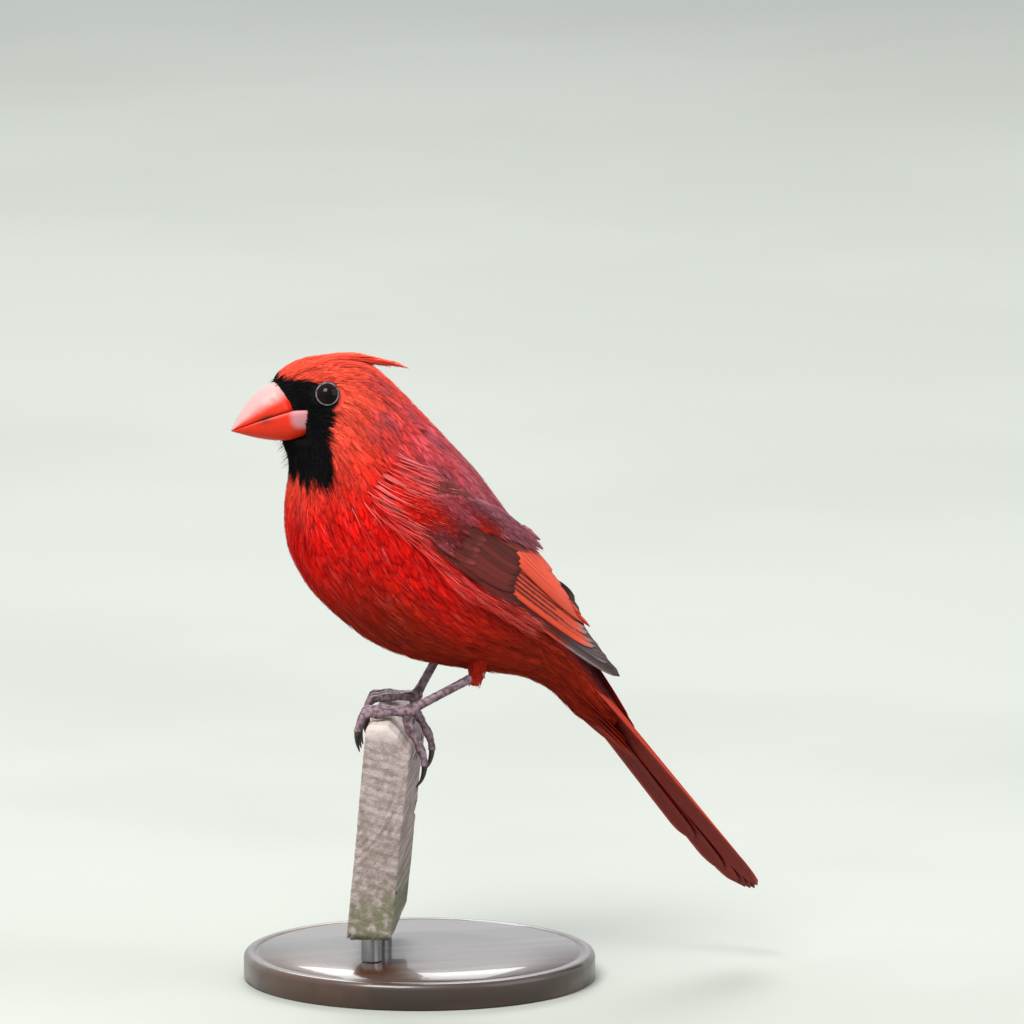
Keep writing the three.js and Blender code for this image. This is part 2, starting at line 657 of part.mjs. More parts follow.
function legNodes(word) {
  const { side } = LEGS[word];
  const ankle = vec(...LEGS[word].ankle);
  const knee = vec(...LEGS[word].knee);
  const p = side * FOOT.station;
  const palmAt = boardPoint(FOOT.palm[0], p, FOOT.palm[1] + 0.2);
  const palm = new THREE.SphereGeometry(FOOT.palmRadius, 12, 8);
  palm.translate(palmAt.x, palmAt.y, palmAt.z);
  const toes = TOES.map((toe) => solid(limb(
    toePath(toe, p, side),
    (t) => FOOT.toeRadius * (1 - 0.28 * t) + FOOT.pad * Math.sin(20 * t),
    { sides: 6, steps: 9, from: 0, to: FOOT.clawFrom - 0.012 },
  )));
  const claws = TOES.map((toe) => [toe.name, solid(limb(
    toePath(toe, p, side),
    (t) => mix(FOOT.clawRoot, FOOT.clawTip, ((t - FOOT.clawFrom) / (1 - FOOT.clawFrom)) ** 0.9),
    { sides: 6, steps: 5, from: FOOT.clawFrom + 0.002, to: 1 },
  ))]);
  const thighPath = [knee, knee.clone().lerp(ankle, 0.6), ankle];
  const thighGeometry = limb(thighPath, (t) => mix(THIGH.top, THIGH.end, t ** 0.8), { sides: 12, steps: 6 });
  const deeper = ankle.clone().lerp(knee, 0.25);
  const shankPath = [palmAt, palmAt.clone().lerp(deeper, 0.5), deeper];
  const shankRadius = (t) => SHANK.radius + SHANK.flare * (2 * t - 1) ** 4;
  const shankGeometry = limb(shankPath, shankRadius, { sides: 8, steps: 7 });
  const shank = solid(shankGeometry).subtract(clearOf([palm, thighGeometry])).subtract(grownBody);
  return [
    node('thigh_' + word, solid(thighGeometry).subtract(grownBody), RED),
    node('shank_' + word, shank, LEG_BROWN),
    node('foot_' + word, join([solid(palm), ...toes]), LEG_BROWN),
    ...claws.map(([name, claw]) => node('claw_' + name + '_' + word, claw, CLAW_DARK)),
  ];
}

// The bird.
const grownBody = solid(grown(bodyGeometry, GAP));
const parted = PARTED_AT.reduce((body, name) => body.subtract(slabAt(name)), solid(bodyGeometry));
const middleX = (made) => made.boundingBox().min[0] + made.boundingBox().max[0];
const [headPart, neckPart, torsoPart, rumpPart] = parted.decompose().sort((a, b) => middleX(a) - middleX(b));

const head = join([headPart, joinAll(crestVanes), lidRing(-1), lidRing(1)])
  .subtract(clearOf([upperGeometry, lowerGeometry]))
  .subtract(eyeSolid(-1, EYE.radius + GAP))
  .subtract(eyeSolid(1, EYE.radius + GAP));

const coverts = joinAll([...upperCoverts, ...underCoverts]);
const otherBody = grownBody.subtract(rumpPart);
const rump = rumpPart.add(coverts.subtract(otherBody)).subtract(clearOf(tailVanes));
const tail = joinAll(tailVanes).subtract(otherBody);

// A block over the bird's right half, to keep the left wing on its own side.
const rightHalf = new THREE.BoxGeometry(300, 100, 300);
rightHalf.translate(0, 50 - GAP / 2, 0);
const wing = join([solid(wingCore(WING.core)), joinAll(wingVanes)])
  .subtract(grownBody)
  .subtract(clearOf([...upperCoverts, ...tailVanes]))
  .subtract(solid(rightHalf));

const bird = new THREE.Group();
bird.add(
  node('head', head, RED),
  node('neck', neckPart, RED),
  node('torso', torsoPart, RED),
  node('rump', rump, RED),
  node('tail', tail, RED),
  node('wing_left', wing, WING_RED),
  node('wing_right', mirrored(wing), WING_RED),
  node('bill_upper', solid(upperGeometry).subtract(nostril(-1)).subtract(nostril(1)), BILL_ORANGE),
  node('bill_lower', solid(lowerGeometry), BILL_ORANGE),
  node('eye_left', eyeSolid(-1, EYE.radius), EYE_DARK),
  node('eye_right', eyeSolid(1, EYE.radius), EYE_DARK),
  ...legNodes('left'),
  ...legNodes('right'),
);

// The board and its stand.
const boardBottom = BOARD.top - BOARD.height;
const floor = boardBottom - STAND.rodLength - STAND.baseThick;

function rod(p) {
  const at = boardPoint((BOARD.inner + BOARD.outer) / 2 - BOARD.lean * BOARD.height, p, 0);
  const g = new THREE.CylinderGeometry(STAND.rodRadius, STAND.rodRadius, STAND.rodLength - 2 * GAP, 16);
  g.rotateX(Math.PI / 2);
  g.translate(at.x, at.y, boardBottom - STAND.rodLength / 2);
  return solid(g);
}

function standBase() {
  const r = STAND.baseRadius;
  const t = STAND.baseThick;
  const edge = STAND.baseEdge;
  const outline = [[0, 0], [r, 0], [r, t - edge], [r - edge, t], [0, t]];
  const g = new THREE.LatheGeometry(outline.map(([x, y]) => new THREE.Vector2(x, y)), 36);
  g.rotateX(Math.PI / 2);
  g.translate(STAND.centre[0], STAND.centre[1], floor);
  return solid(g);
}

bird.add(
  node('perch_board', solid(board()), OLD_WOOD),
  node('stand_rod_near', rod(STAND.rodPlaces.near), STEEL),
  node('stand_rod_far', rod(STAND.rodPlaces.far), STEEL),
  node('stand_base', standBase(), STAND_WOOD),
);
bird.position.set(-STAND.centre[0], -STAND.centre[1], -floor);

const part = new THREE.Group();
part.add(bird);

export default part;
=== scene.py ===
"""A life-size northern cardinal on a cut length of old board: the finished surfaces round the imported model.

Lengths are millimetres in the bird's own frame, whose zero is the top of the board between the feet. The bird
faces -X and its left side is at -Y. A mesh turns them into metres of the model's frame when it is made.
"""
import logging
import math
from dataclasses import dataclass, field
from enum import Enum

import bpy
import numpy as np
from mathutils import Matrix, Vector


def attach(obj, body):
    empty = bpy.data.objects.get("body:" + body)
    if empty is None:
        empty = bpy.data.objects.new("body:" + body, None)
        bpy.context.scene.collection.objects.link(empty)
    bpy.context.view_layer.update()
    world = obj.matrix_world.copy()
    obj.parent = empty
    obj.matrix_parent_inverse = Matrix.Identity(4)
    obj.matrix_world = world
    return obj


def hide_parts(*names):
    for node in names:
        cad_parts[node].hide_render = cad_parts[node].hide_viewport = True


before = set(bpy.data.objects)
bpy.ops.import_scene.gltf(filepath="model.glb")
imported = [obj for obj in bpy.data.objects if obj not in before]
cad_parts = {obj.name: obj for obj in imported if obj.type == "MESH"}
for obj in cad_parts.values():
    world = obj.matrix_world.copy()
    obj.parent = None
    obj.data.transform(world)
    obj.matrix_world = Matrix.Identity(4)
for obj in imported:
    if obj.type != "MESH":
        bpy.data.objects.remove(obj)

logging.basicConfig(level=logging.INFO, format="%(message)s")
LOG = logging.getLogger("cardinal")
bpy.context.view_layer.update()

MM = 0.001
ORIGIN = np.array([-2.0, -5.0, 81.9])
LEFT, RIGHT = -1, 1
SIDES = {LEFT: "left", RIGHT: "right"}
PATCH = 0.003
ASIDE = np.array([0.3, 0.9, 0.31])


def linear(red: int, green: int, blue: int) -> tuple[float, float, float, float]:
    """The linear colour of an 8-bit screen colour: each channel over 255, to the power 2.2.

    Args:
        red, green, blue: channels from 0 to 255.
    Returns:
        Red, green, blue and an alpha of 1.
    """
    return (*(float((c / 255.0) ** 2.2) for c in (red, green, blue)), 1.0)


WHITE = linear(255, 255, 255)


class Hue(Enum):
    """The bird's colours, named for where they show."""

    BREAST = linear(240, 22, 14)
    # The head's orange-red: partly its own colour, partly painted light where the head is brightest.
    CROWN = linear(255, 92, 68)
    # The belly's browner red, darkened partly as painted shade under the body.
    SHADED_BELLY = linear(170, 44, 20)
    MANTLE = linear(160, 97, 110)
    # Near-black: the mask and bib, and also a painted shadow on the rump under the wings' tips.
    INK_AND_SHADOW = linear(8, 6, 8)
    MAROON = linear(124, 38, 32)
    COVERT = linear(92, 34, 29)
    COVERT_EDGE = linear(118, 54, 50)
    CORAL = linear(206, 72, 46)
    FLIGHT = linear(100, 34, 28)
    DARK_WEB = linear(46, 22, 22)
    DUSKY = linear(74, 62, 64)
    PALE_EDGE = linear(132, 112, 110)
    TAIL = linear(140, 32, 20)
    TAIL_EDGE = linear(200, 76, 58)
    WISP = linear(236, 136, 130)


def smooth(low: float, high: float, x: np.ndarray) -> np.ndarray:
    """A smooth step, 0 below low and 1 above high: 3 s squared less 2 s cubed."""
    s = np.clip((x - low) / (high - low), 0.0, 1.0)
    return s * s * (3.0 - 2.0 * s)


def unit(v: np.ndarray) -> np.ndarray:
    """The vectors along the last axis, at length 1."""
    return v / np.maximum(np.linalg.norm(v, axis=-1, keepdims=True), 1e-9)


def spline(knots: np.ndarray, at: np.ndarray) -> np.ndarray:
    """Points on a Catmull-Rom curve, the cubic through the knots whose slope at each knot is half the step
    between its neighbours.

    Args:
        knots: the points that it passes, one a row.
        at: shares of the way through the knots, in any shape.
    Returns:
        The points, in the shape of at with one more axis.
    """
    knots = np.asarray(knots, float)
    at = np.asarray(at, float)
    last = len(knots) - 1
    s = np.clip(at.ravel(), 0.0, 1.0) * last
    i = np.minimum(s.astype(int), last - 1)
    f = (s - i)[:, None]
    b, c = knots[i], knots[i + 1]
    a = np.where(i[:, None] > 0, knots[np.maximum(i - 1, 0)], 2 * b - c)
    d = np.where(i[:, None] < last - 1, knots[np.minimum(i + 2, last)], 2 * c - b)
    p = 0.5 * (2 * b + (c - a) * f + (2 * a - 5 * b + 4 * c - d) * f**2 + (3 * b - a - 3 * c + d) * f**3)
    return p.reshape(*at.shape, knots.shape[1])


def through(pairs: list, x: np.ndarray) -> np.ndarray:
    """A smooth function through (position, value) pairs, by cubic pieces whose slopes are taken across each
    pair's neighbours.

    Args:
        pairs: positions and values, in order.
        x: where to read it, in any shape.
    Returns:
        The values, in the shape of x.
    """
    xs, ys = np.asarray(pairs, float).T
    low = np.maximum(np.arange(len(xs)) - 1, 0)
    high = np.minimum(np.arange(len(xs)) + 1, len(xs) - 1)
    slopes = (ys[high] - ys[low]) / (xs[high] - xs[low])
    i = np.clip(np.searchsorted(xs, x) - 1, 0, len(xs) - 2)
    w = xs[i + 1] - xs[i]
    t = np.clip((x - xs[i]) / w, 0.0, 1.0)
    return (ys[i] * (2 * t**3 - 3 * t**2 + 1) + slopes[i] * w * (t**3 - 2 * t**2 + t)
            + ys[i + 1] * (3 * t**2 - 2 * t**3) + slopes[i + 1] * w * (t**3 - t**2))


def value_noise(points: np.ndarray, scale: float, seed: int = 0) -> np.ndarray:
    """Smooth noise from -1 to 1: each corner of a unit lattice has a fixed draw, made from the sine of a mix
    of its whole-number coordinates, and a point blends its eight corners.

    Args:
        points: places, with three coordinates along the last axis.
        scale: lattice cells for each unit of length.
        seed: another seed gives another pattern.
    Returns:
        The noise at each point.
    """
    q = points * scale
    base = np.floor(q)
    f = q - base
    f = f * f * (3 - 2 * f)
    total = np.zeros(points.shape[:-1])
    for corner in np.ndindex(2, 2, 2):
        c = base + np.array(corner)
        mixed = np.sin(c @ np.array([127.1, 311.7, 74.7]) + seed * 17.3) * 43758.5453
        weight = np.prod(np.where(np.array(corner) == 1, f, 1 - f), axis=-1)
        total += weight * (2 * (mixed - np.floor(mixed)) - 1)
    return total


def grid_faces(rows: int, around: int, closed: bool, capped: bool = False) -> np.ndarray:
    """Quads over a grid of points, row after row.

    Args:
        rows: how many rows of points.
        around: how many points a row has.
        closed: whether each row's last point joins its first.
        capped: whether a four-sided first and last row are closed by a quad.
    Returns:
        Point numbers, four a face.
    """
    i, j = np.meshgrid(np.arange(rows - 1), np.arange(around if closed else around - 1), indexing="ij")
    k = (j + 1) % around
    quads = np.stack([i * around + j, i * around + k, (i + 1) * around + k, (i + 1) * around + j], -1)
    quads = quads.reshape(-1, 4)
    if capped:
        last = (rows - 1) * around
        quads = np.vstack([quads, [[3, 2, 1, 0]], [[last, last + 1, last + 2, last + 3]]])
    return quads


def tiled(faces: np.ndarray, copies: int, stride: int) -> np.ndarray:
    """The same faces for many copies of a shape, each copy's points a stride further on."""
    return (faces[None] + (np.arange(copies) * stride)[:, None, None]).reshape(-1, faces.shape[1])


def turns(count: int) -> np.ndarray:
    """Angles spread evenly round a full turn."""
    return np.linspace(0, 2 * np.pi, count, endpoint=False)


@dataclass
class Cloth:
    """A mesh before it is made: points in millimetres, faces of four corners or of three and a -1, and what
    its materials read at each point."""

    points: np.ndarray
    faces: np.ndarray
    values: dict[str, np.ndarray] = field(default_factory=dict)
    uvs: dict[str, np.ndarray] = field(default_factory=dict)

    def plus(self, other: "Cloth") -> "Cloth":
        """This mesh and another as one, with the values that both have.

        Args:
            other: the mesh to add.
        Returns:
            The one mesh.
        """
        faces = np.where(other.faces < 0, -1, other.faces + len(self.points))
        return Cloth(
            np.vstack([self.points, other.points]),
            np.vstack([self.faces, faces]),
            {k: np.concatenate([v, other.values[k]]) for k, v in self.values.items() if k in other.values},
            {k: np.vstack([v, other.uvs[k]]) for k, v in self.uvs.items() if k in other.uvs},
        )

    def flipped(self) -> "Cloth":
        """The same mesh with its faces the other way round."""
        return Cloth(self.points, self.faces[:, ::-1], self.values, self.uvs)


def joined(parts: list[Cloth]) -> Cloth:
    """Several meshes as one.

    Args:
        parts: the meshes.
    Returns:
        The one mesh.
    """
    whole = parts[0]
    for part in parts[1:]:
        whole = whole.plus(part)
    return whole


def lofted(grid: np.ndarray, values: dict | None = None) -> Cloth:
    """A closed mesh over rings of points, with a fan to the middle of the first ring and of the last.

    Args:
        grid: the points, by ring and by place round it.
        values: what the materials read, in the grid's shape.
    Returns:
        The mesh.
    """
    rows, around = grid.shape[:2]
    j = np.arange(around)
    count = rows * around
    faces = [grid_faces(rows, around, True)]
    for ring, centre in ((j, count), (count - 1 - j, count + 1)):
        faces.append(np.stack([np.roll(ring, -1), ring, 0 * j + centre, 0 * j - 1], -1))
    ends = {k: np.concatenate([v.ravel(), v[0, :1], v[-1, :1]]) for k, v in (values or {}).items()}
    return Cloth(np.vstack([grid.reshape(-1, 3), grid[0].mean(0), grid[-1].mean(0)]), np.vstack(faces), ends)


def slab(top: np.ndarray, low: np.ndarray, values: dict) -> Cloth:
    """A thin closed mesh between an upper and a lower grid of points, its rings once round both.

    Args:
        top, low: the two grids, by row and by column.
        values: what the materials read, by row and by place round the ring.
    Returns:
        The mesh.
    """
    rows, columns = top.shape[:2]
    around = 2 * columns
    j = np.arange(columns - 1)
    near = np.stack([j + 1, j, around - 1 - j, around - 2 - j], -1)
    far = near[:, [1, 0, 3, 2]] + (rows - 1) * around
    ring = np.concatenate([top, low[:, ::-1]], 1)
    values = {k: (v * np.ones((rows, around))).ravel() for k, v in values.items()}
    return Cloth(ring.reshape(-1, 3), np.vstack([grid_faces(rows, around, True), near, far]), values)


PLAIN = {"ink_and_shadow": 0.0, "head_orange_and_light": 0.0, "dusk": 0.0, "rust_and_shade": 0.0, "maroon": 0.0, "wisp": 0.0, "shade": 0.0}


def narrowed(u: np.ndarray, taper: float, quick: float = 5.0, root: float = 0.25) -> np.ndarray:
    """A blade's share of its full width: the root of the share along it at first, and at last a power of what
    is left."""
    return np.sqrt(np.clip(u * quick + root, 0, 1)) * np.clip(1 - u, 0.03, 1) ** taper


def blades(line: np.ndarray, across: np.ndarray, normal: np.ndarray, wide: np.ndarray, under: np.ndarray,
           over: np.ndarray, marks: dict, place: tuple) -> Cloth:
    """Many slender closed blades with four-sided sections.

    Args:
        line: the middle lines, by blade and by row.
        across, normal: the two directions of each section.
        wide: half the width at each point of the lines.
        under, over: how far the lower and the upper edge lie off the lines.
        marks: what the materials read, one value for each blade.
        place: the two shares of the skin's unwrap where each blade's patch starts.
    Returns:
        The joined blades.
    """
    count, rows = line.shape[:2]
    aside, down, up = (s[..., None] * d for s, d in ((wide, across), (under, normal), (over, normal)))
    ring = np.stack([line - aside, line - down, line + aside, line + up], 2)
    each = np.ones((count, rows, 4))
    values = {k: ((v + np.zeros(count))[:, None, None] * each).ravel() for k, v in marks.items()}
    u = np.linspace(0, 1, rows)[None, :, None]
    values["along"] = (u * each).ravel()
    one, two = (v[:, None, None] for v in place)
    uv = np.stack([one + PATCH * np.array([0.0, 0.5, 1.0, 0.5]) * each, two + PATCH * u * each], -1)
    faces = tiled(grid_faces(rows, 4, True, True), count, rows * 4)
    return Cloth(ring.reshape(-1, 3), faces, values, {"OFBake": uv.reshape(-1, 2)})


def make(name: str, cloth: Cloth, finish: bpy.types.Material, replaces: tuple = ()) -> None:
    """Puts a mesh into the scene as a piece of the bird that rides on its one body.

    Args:
        name: the piece's name.
        cloth: its points, faces, values and maps.
        finish: its material.
        replaces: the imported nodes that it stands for.
    """
    mesh = bpy.data.meshes.new(name)
    corners = cloth.faces >= 0
    loops = cloth.faces[corners].astype(np.int32)
    counts = corners.sum(1)
    mesh.vertices.add(len(cloth.points))
    mesh.vertices.foreach_set("co", ((cloth.points + ORIGIN) * MM).astype(np.float32).ravel())
    mesh.loops.add(loops.size)
    mesh.loops.foreach_set("vertex_index", loops)
    mesh.polygons.add(len(counts))
    mesh.polygons.foreach_set("loop_start", (np.cumsum(counts) - counts).astype(np.int32))
    for key, uv in cloth.uvs.items():
        mesh.uv_layers.new(name=key).data.foreach_set("uv", uv[loops].astype(np.float32).ravel())
    for key, value in cloth.values.items():
        mesh.attributes.new(key, "FLOAT", "POINT").data.foreach_set("value", value.astype(np.float32))
    mesh.update(calc_edges=True)
    mesh.validate()
    mesh.polygons.foreach_set("use_smooth", np.ones(len(mesh.polygons), bool))
    mesh.materials.append(finish)
    piece = bpy.data.objects.new(name, mesh)
    bpy.context.scene.collection.objects.link(piece)
    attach(piece, "root")
    if replaces:
        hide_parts(*replaces)
    LOG.info("%s: %d points, %d faces", name, len(cloth.points), len(counts))


# Materials.
Value = bpy.types.NodeSocket | float | tuple


class Nodes:
    """A short way to build a material's or a group's nodes."""

    def __init__(self, tree: bpy.types.NodeTree):
        """Takes the tree that the nodes go into."""
        self.tree = tree

    def feed(self, node: bpy.types.Node, inputs: dict) -> None:
        """Sets a node's sockets, by name or number, to a value or to a link from another socket.

        Args:
            node: the node.
            inputs: its sockets' values or links.
        """
        for key, value in inputs.items():
            if isinstance(value, bpy.types.NodeSocket):
                self.tree.links.new(value, node.inputs[key])
            else:
                node.inputs[key].default_value = value

    def add(self, kind: str, inputs: dict, **settings) -> bpy.types.Node:
        """Adds a node.

        Args:
            kind: the node's type, without the word ShaderNode.
            inputs: its sockets' values or links.
            settings: the node's own settings.
        Returns:
            The node.
        """
        node = self.tree.nodes.new("ShaderNode" + kind)
        for key, value in settings.items():
            setattr(node, key, value)
        self.feed(node, inputs)
        return node

    def value(self, name: str) -> bpy.types.NodeSocket:
        """A value that the mesh carries at each point."""
        return self.add("Attribute", {}, attribute_name=name).outputs["Fac"]

    def sum(self, kind: str, a: Value, b: Value) -> bpy.types.NodeSocket:
        """A Math node of two inputs."""
        return self.add("Math", {0: a, 1: b}, operation=kind).outputs[0]

    def times(self, a: Value, b: Value) -> bpy.types.NodeSocket:
        """The product of two values."""
        return self.sum("MULTIPLY", a, b)

    def ragged(self, x: Value, noise: Value, by: float) -> bpy.types.NodeSocket:
        """A value moved up and down by a noise, whose middle is a half."""
        return self.sum("ADD", x, self.times(self.sum("SUBTRACT", noise, 0.5), by))

    def step(self, x: Value, low: float, high: float) -> bpy.types.NodeSocket:
        """A smooth step from 0 at low to 1 at high."""
        inputs = {"Value": x, "From Min": low, "From Max": high}
        return self.add("MapRange", inputs, interpolation_type="SMOOTHSTEP").outputs[0]

    def mix(self, share: Value, a: Value, b: Value, blend: str = "MIX") -> bpy.types.NodeSocket:
        """A mix of two colours."""
        return self.add("Mix", {0: share, 6: a, 7: b}, data_type="RGBA", blend_type=blend).outputs[2]

    def noise(self, scale: float, detail: float = 3.0, vector: Value | None = None,
              stretch: tuple | None = None) -> bpy.types.NodeSocket:
        """Noise over the object's own coordinates, with a Mapping node where it is stretched.

        Args:
            scale: the noise's scale for each metre.
            detail: how many finer layers it has.
            vector: coordinates to read in place of the object's.
            stretch: a scale along each axis.
        Returns:
            The noise, from 0 to 1.
        """
        where = vector if vector is not None else self.add("TexCoord", {}).outputs["Object"]
        if stretch is not None:
            where = self.add("Mapping", {"Vector": where, "Scale": stretch}).outputs[0]
        return self.add("TexNoise", {"Vector": where, "Scale": scale, "Detail": detail}).outputs[0]


class Finish(Nodes):
    """A new material's nodes, round its one shader."""

    def __init__(self, name: str):
        """Starts the material.

        Args:
            name: its name.
        """
        self.material = bpy.data.materials.new(name)
        self.material.use_nodes = True
        super().__init__(self.material.node_tree)

    def done(self, colour: Value, inputs: dict, height: Value | None = None, strength: float = 0.0,
             distance: float = 0.0002) -> bpy.types.Material:
        """Links up the shader.

        Args:
            colour: the base colour.
            inputs: the shader's other sockets.
            height: what its bump reads, if it has one.
            strength, distance: how strong and how deep the bump is.
        Returns:
            The material.
        """
        if height is not None:
            bump = self.add("Bump", {"Height": height, "Strength": strength, "Distance": distance})
            inputs = inputs | {"Normal": bump.outputs[0]}
        self.feed(self.tree.nodes["Principled BSDF"], inputs | {"Base Color": colour})
        return self.material


def barb_group() -> bpy.types.NodeTree:
    """Fine barbs on a vane: lines that run from the shaft out and on to the tip, as a height and a shade. The
    lines are a sine of the share along the vane less a part of the distance from its shaft.

    Returns:
        The node group.
    """
    slant, wander, full_turn = 0.12, 0.02, 6.2832
    tree = bpy.data.node_groups.new("barbs", "ShaderNodeTree")
    tree.interface.new_socket("Lines", in_out="INPUT", socket_type="NodeSocketFloat")
    for name in ("Height", "Shade"):
        tree.interface.new_socket(name, in_out="OUTPUT", socket_type="NodeSocketFloat")
    count = tree.nodes.new("NodeGroupInput").outputs["Lines"]
    n = Nodes(tree)
    slanted = n.sum("SUBTRACT", n.value("along"), n.times(n.sum("ABSOLUTE", n.value("web"), 0.0), slant))
    place = n.sum("ADD", slanted, n.times(n.noise(220.0, 2.0), wander))
    lines = n.sum("SINE", n.times(place, n.times(count, full_turn)), 0.0)
    height = n.add("Math", {0: lines, 1: 0.5, 2: 0.5}, operation="MULTIPLY_ADD").outputs[0]
    n.feed(tree.nodes.new("NodeGroupOutput"), {"Height": height, "Shade": n.times(height, n.noise(420.0))})
    return tree


@dataclass(frozen=True)
class Plumage:
    """The small body feathers and the skin under them: marked by the values that the meshes carry."""

    name: str
    roughness: float = 0.72
    streak: float = 0.08

    def build(self) -> bpy.types.Material:
        """The finished material.

        Returns:
            The material.
        """
        n = Finish(self.name)
        red = Hue.BREAST.value
        # Among the marks, the head's orange is partly painted light and the belly's brown partly painted
        # shade.
        marks = {"head_orange_and_light": Hue.CROWN, "rust_and_shade": Hue.SHADED_BELLY, "maroon": Hue.MAROON, "dusk": Hue.MANTLE}
        for key, hue in (marks | {"wisp": Hue.WISP}).items():
            red = n.mix(n.value(key), red, hue.value)
        lighter = n.mix(n.step(n.value("shade"), -1.0, 1.0), linear(180, 170, 174), WHITE)
        # Painted shade: each feather darker towards its root, where it lies under the others.
        painted_root_shade = n.mix(n.step(n.value("along"), 0.0, 0.4), linear(222, 205, 205), WHITE)
        for tint in (lighter, painted_root_shade):
            red = n.mix(1.0, red, tint, "MULTIPLY")
        # Near-black for the mask and bib, and for the painted shadow on the rump.
        colour = n.mix(n.value("ink_and_shadow"), red, Hue.INK_AND_SHADOW.value)
        inputs = {"Roughness": self.roughness, "Specular IOR Level": 0.12}
        return n.done(colour, inputs, n.noise(2600.0, 2.0), self.streak)


@dataclass(frozen=True)
class VaneFinish:
    """A long feather: its outer web's edge, the rest of its webs, its shaft and its tip."""

    name: str
    edge: Hue
    edge_tip: Hue
    web: Hue
    inner: Hue
    tip: Hue
    tip_from: float = 0.8
    edge_from: float = 0.1
    edge_to: float = 0.75
    lines: float = 90.0
    roughness: float = 0.6

    def build(self, barbs: bpy.types.NodeTree) -> bpy.types.Material:
        """The finished material, with the shared barbs.

        Args:
            barbs: the shared barbs.
        Returns:
            The material.
        """
        n = Finish(self.name)
        web, along = n.value("web"), n.value("along")
        fine = n.add("Group", {"Lines": self.lines}, node_tree=barbs)
        ragged = n.ragged(web, n.noise(500.0), 0.25)
        tipped = n.step(n.ragged(along, n.noise(300.0), 0.1), self.tip_from, self.tip_from + 0.18)
        colour = n.mix(n.step(ragged, -0.02, -0.3), self.web.value, self.inner.value)
        colour = n.mix(tipped, colour, self.tip.value)
        edge = n.mix(tipped, self.edge.value, self.edge_tip.value)
        colour = n.mix(n.step(ragged, self.edge_from, self.edge_to), colour, edge)
        shaft = n.step(n.sum("ABSOLUTE", web, 0.0), 0.07, 0.03)
        colour = n.mix(n.times(shaft, 0.55), colour, Hue.DARK_WEB.value)
        shade = n.sum("ADD", n.value("shade"), n.times(fine.outputs["Shade"], 0.7))
        lit = n.mix(n.step(shade, -1.0, 1.2), linear(186, 186, 186), WHITE)
        colour = n.mix(1.0, colour, lit, "MULTIPLY")
        inputs = {"Roughness": self.roughness, "Specular IOR Level": 0.16}
        return n.done(colour, inputs, fine.outputs["Height"], 0.35, 0.00015)


@dataclass(frozen=True)
class Blotched:
    """A surface of two colours blotched over each other, with a fine bump: skin, horn, steel or varnish."""

    name: str
    light: tuple
    dark: tuple
    scale: float = 400.0
    low: float = 0.4
    high: float = 0.62
    roughness: float = 0.4
    metallic: float = 0.0
    bump: float = 0.2
    bump_scale: float = 1500.0
    coat: float = 0.0
    stretch: tuple = (1.0, 1.0, 1.0)

    def build(self) -> bpy.types.Material:
        """The finished material.

        Returns:
            The material.
        """
        n = Finish(self.name)
        blotch = n.step(n.noise(self.scale, stretch=self.stretch), self.low, self.high)
        ends = {"To Min": self.roughness, "To Max": self.roughness + 0.12}
        rough = n.add("MapRange", {"Value": blotch} | ends).outputs[0]
        inputs = {"Roughness": rough, "Metallic": self.metallic, "Coat Weight": self.coat}
        fine = n.noise(self.bump_scale, 4.0, stretch=self.stretch)
        return n.done(n.mix(blotch, self.light, self.dark), inputs, fine, self.bump)


@dataclass(frozen=True)
class Horn:
    """The bill: coral horn, with a painted highlight along its ridge, and lilac where the lower half meets
    the face.
    """

    name: str = "bill_horn"
    ragged: float = 0.35

    def build(self) -> bpy.types.Material:
        """The finished material.

        Returns:
            The material.
        """
        n = Finish(self.name)
        wander = n.noise(260.0)
        # The pale share: on the upper half a painted highlight along its ridge.
        pale = n.step(n.ragged(n.value("pale"), wander, self.ragged), 0.25, 0.9)
        lilac = n.step(n.ragged(n.value("lilac"), wander, self.ragged), 0.3, 0.8)
        colour = n.mix(pale, linear(198, 40, 5), linear(174, 136, 134))
        colour = n.mix(lilac, colour, linear(176, 118, 124))
        colour = n.mix(n.times(n.value("worn"), 0.8), colour, linear(70, 26, 20))
        inputs = {"Roughness": 0.44, "Specular IOR Level": 0.3, "Subsurface Weight": 0.12,
                  "Subsurface Radius": (0.002, 0.0008, 0.0005)}
        return n.done(colour, inputs, n.noise(700.0, 4.0, stretch=(0.35, 1.0, 1.4)), 0.16, 0.0003)


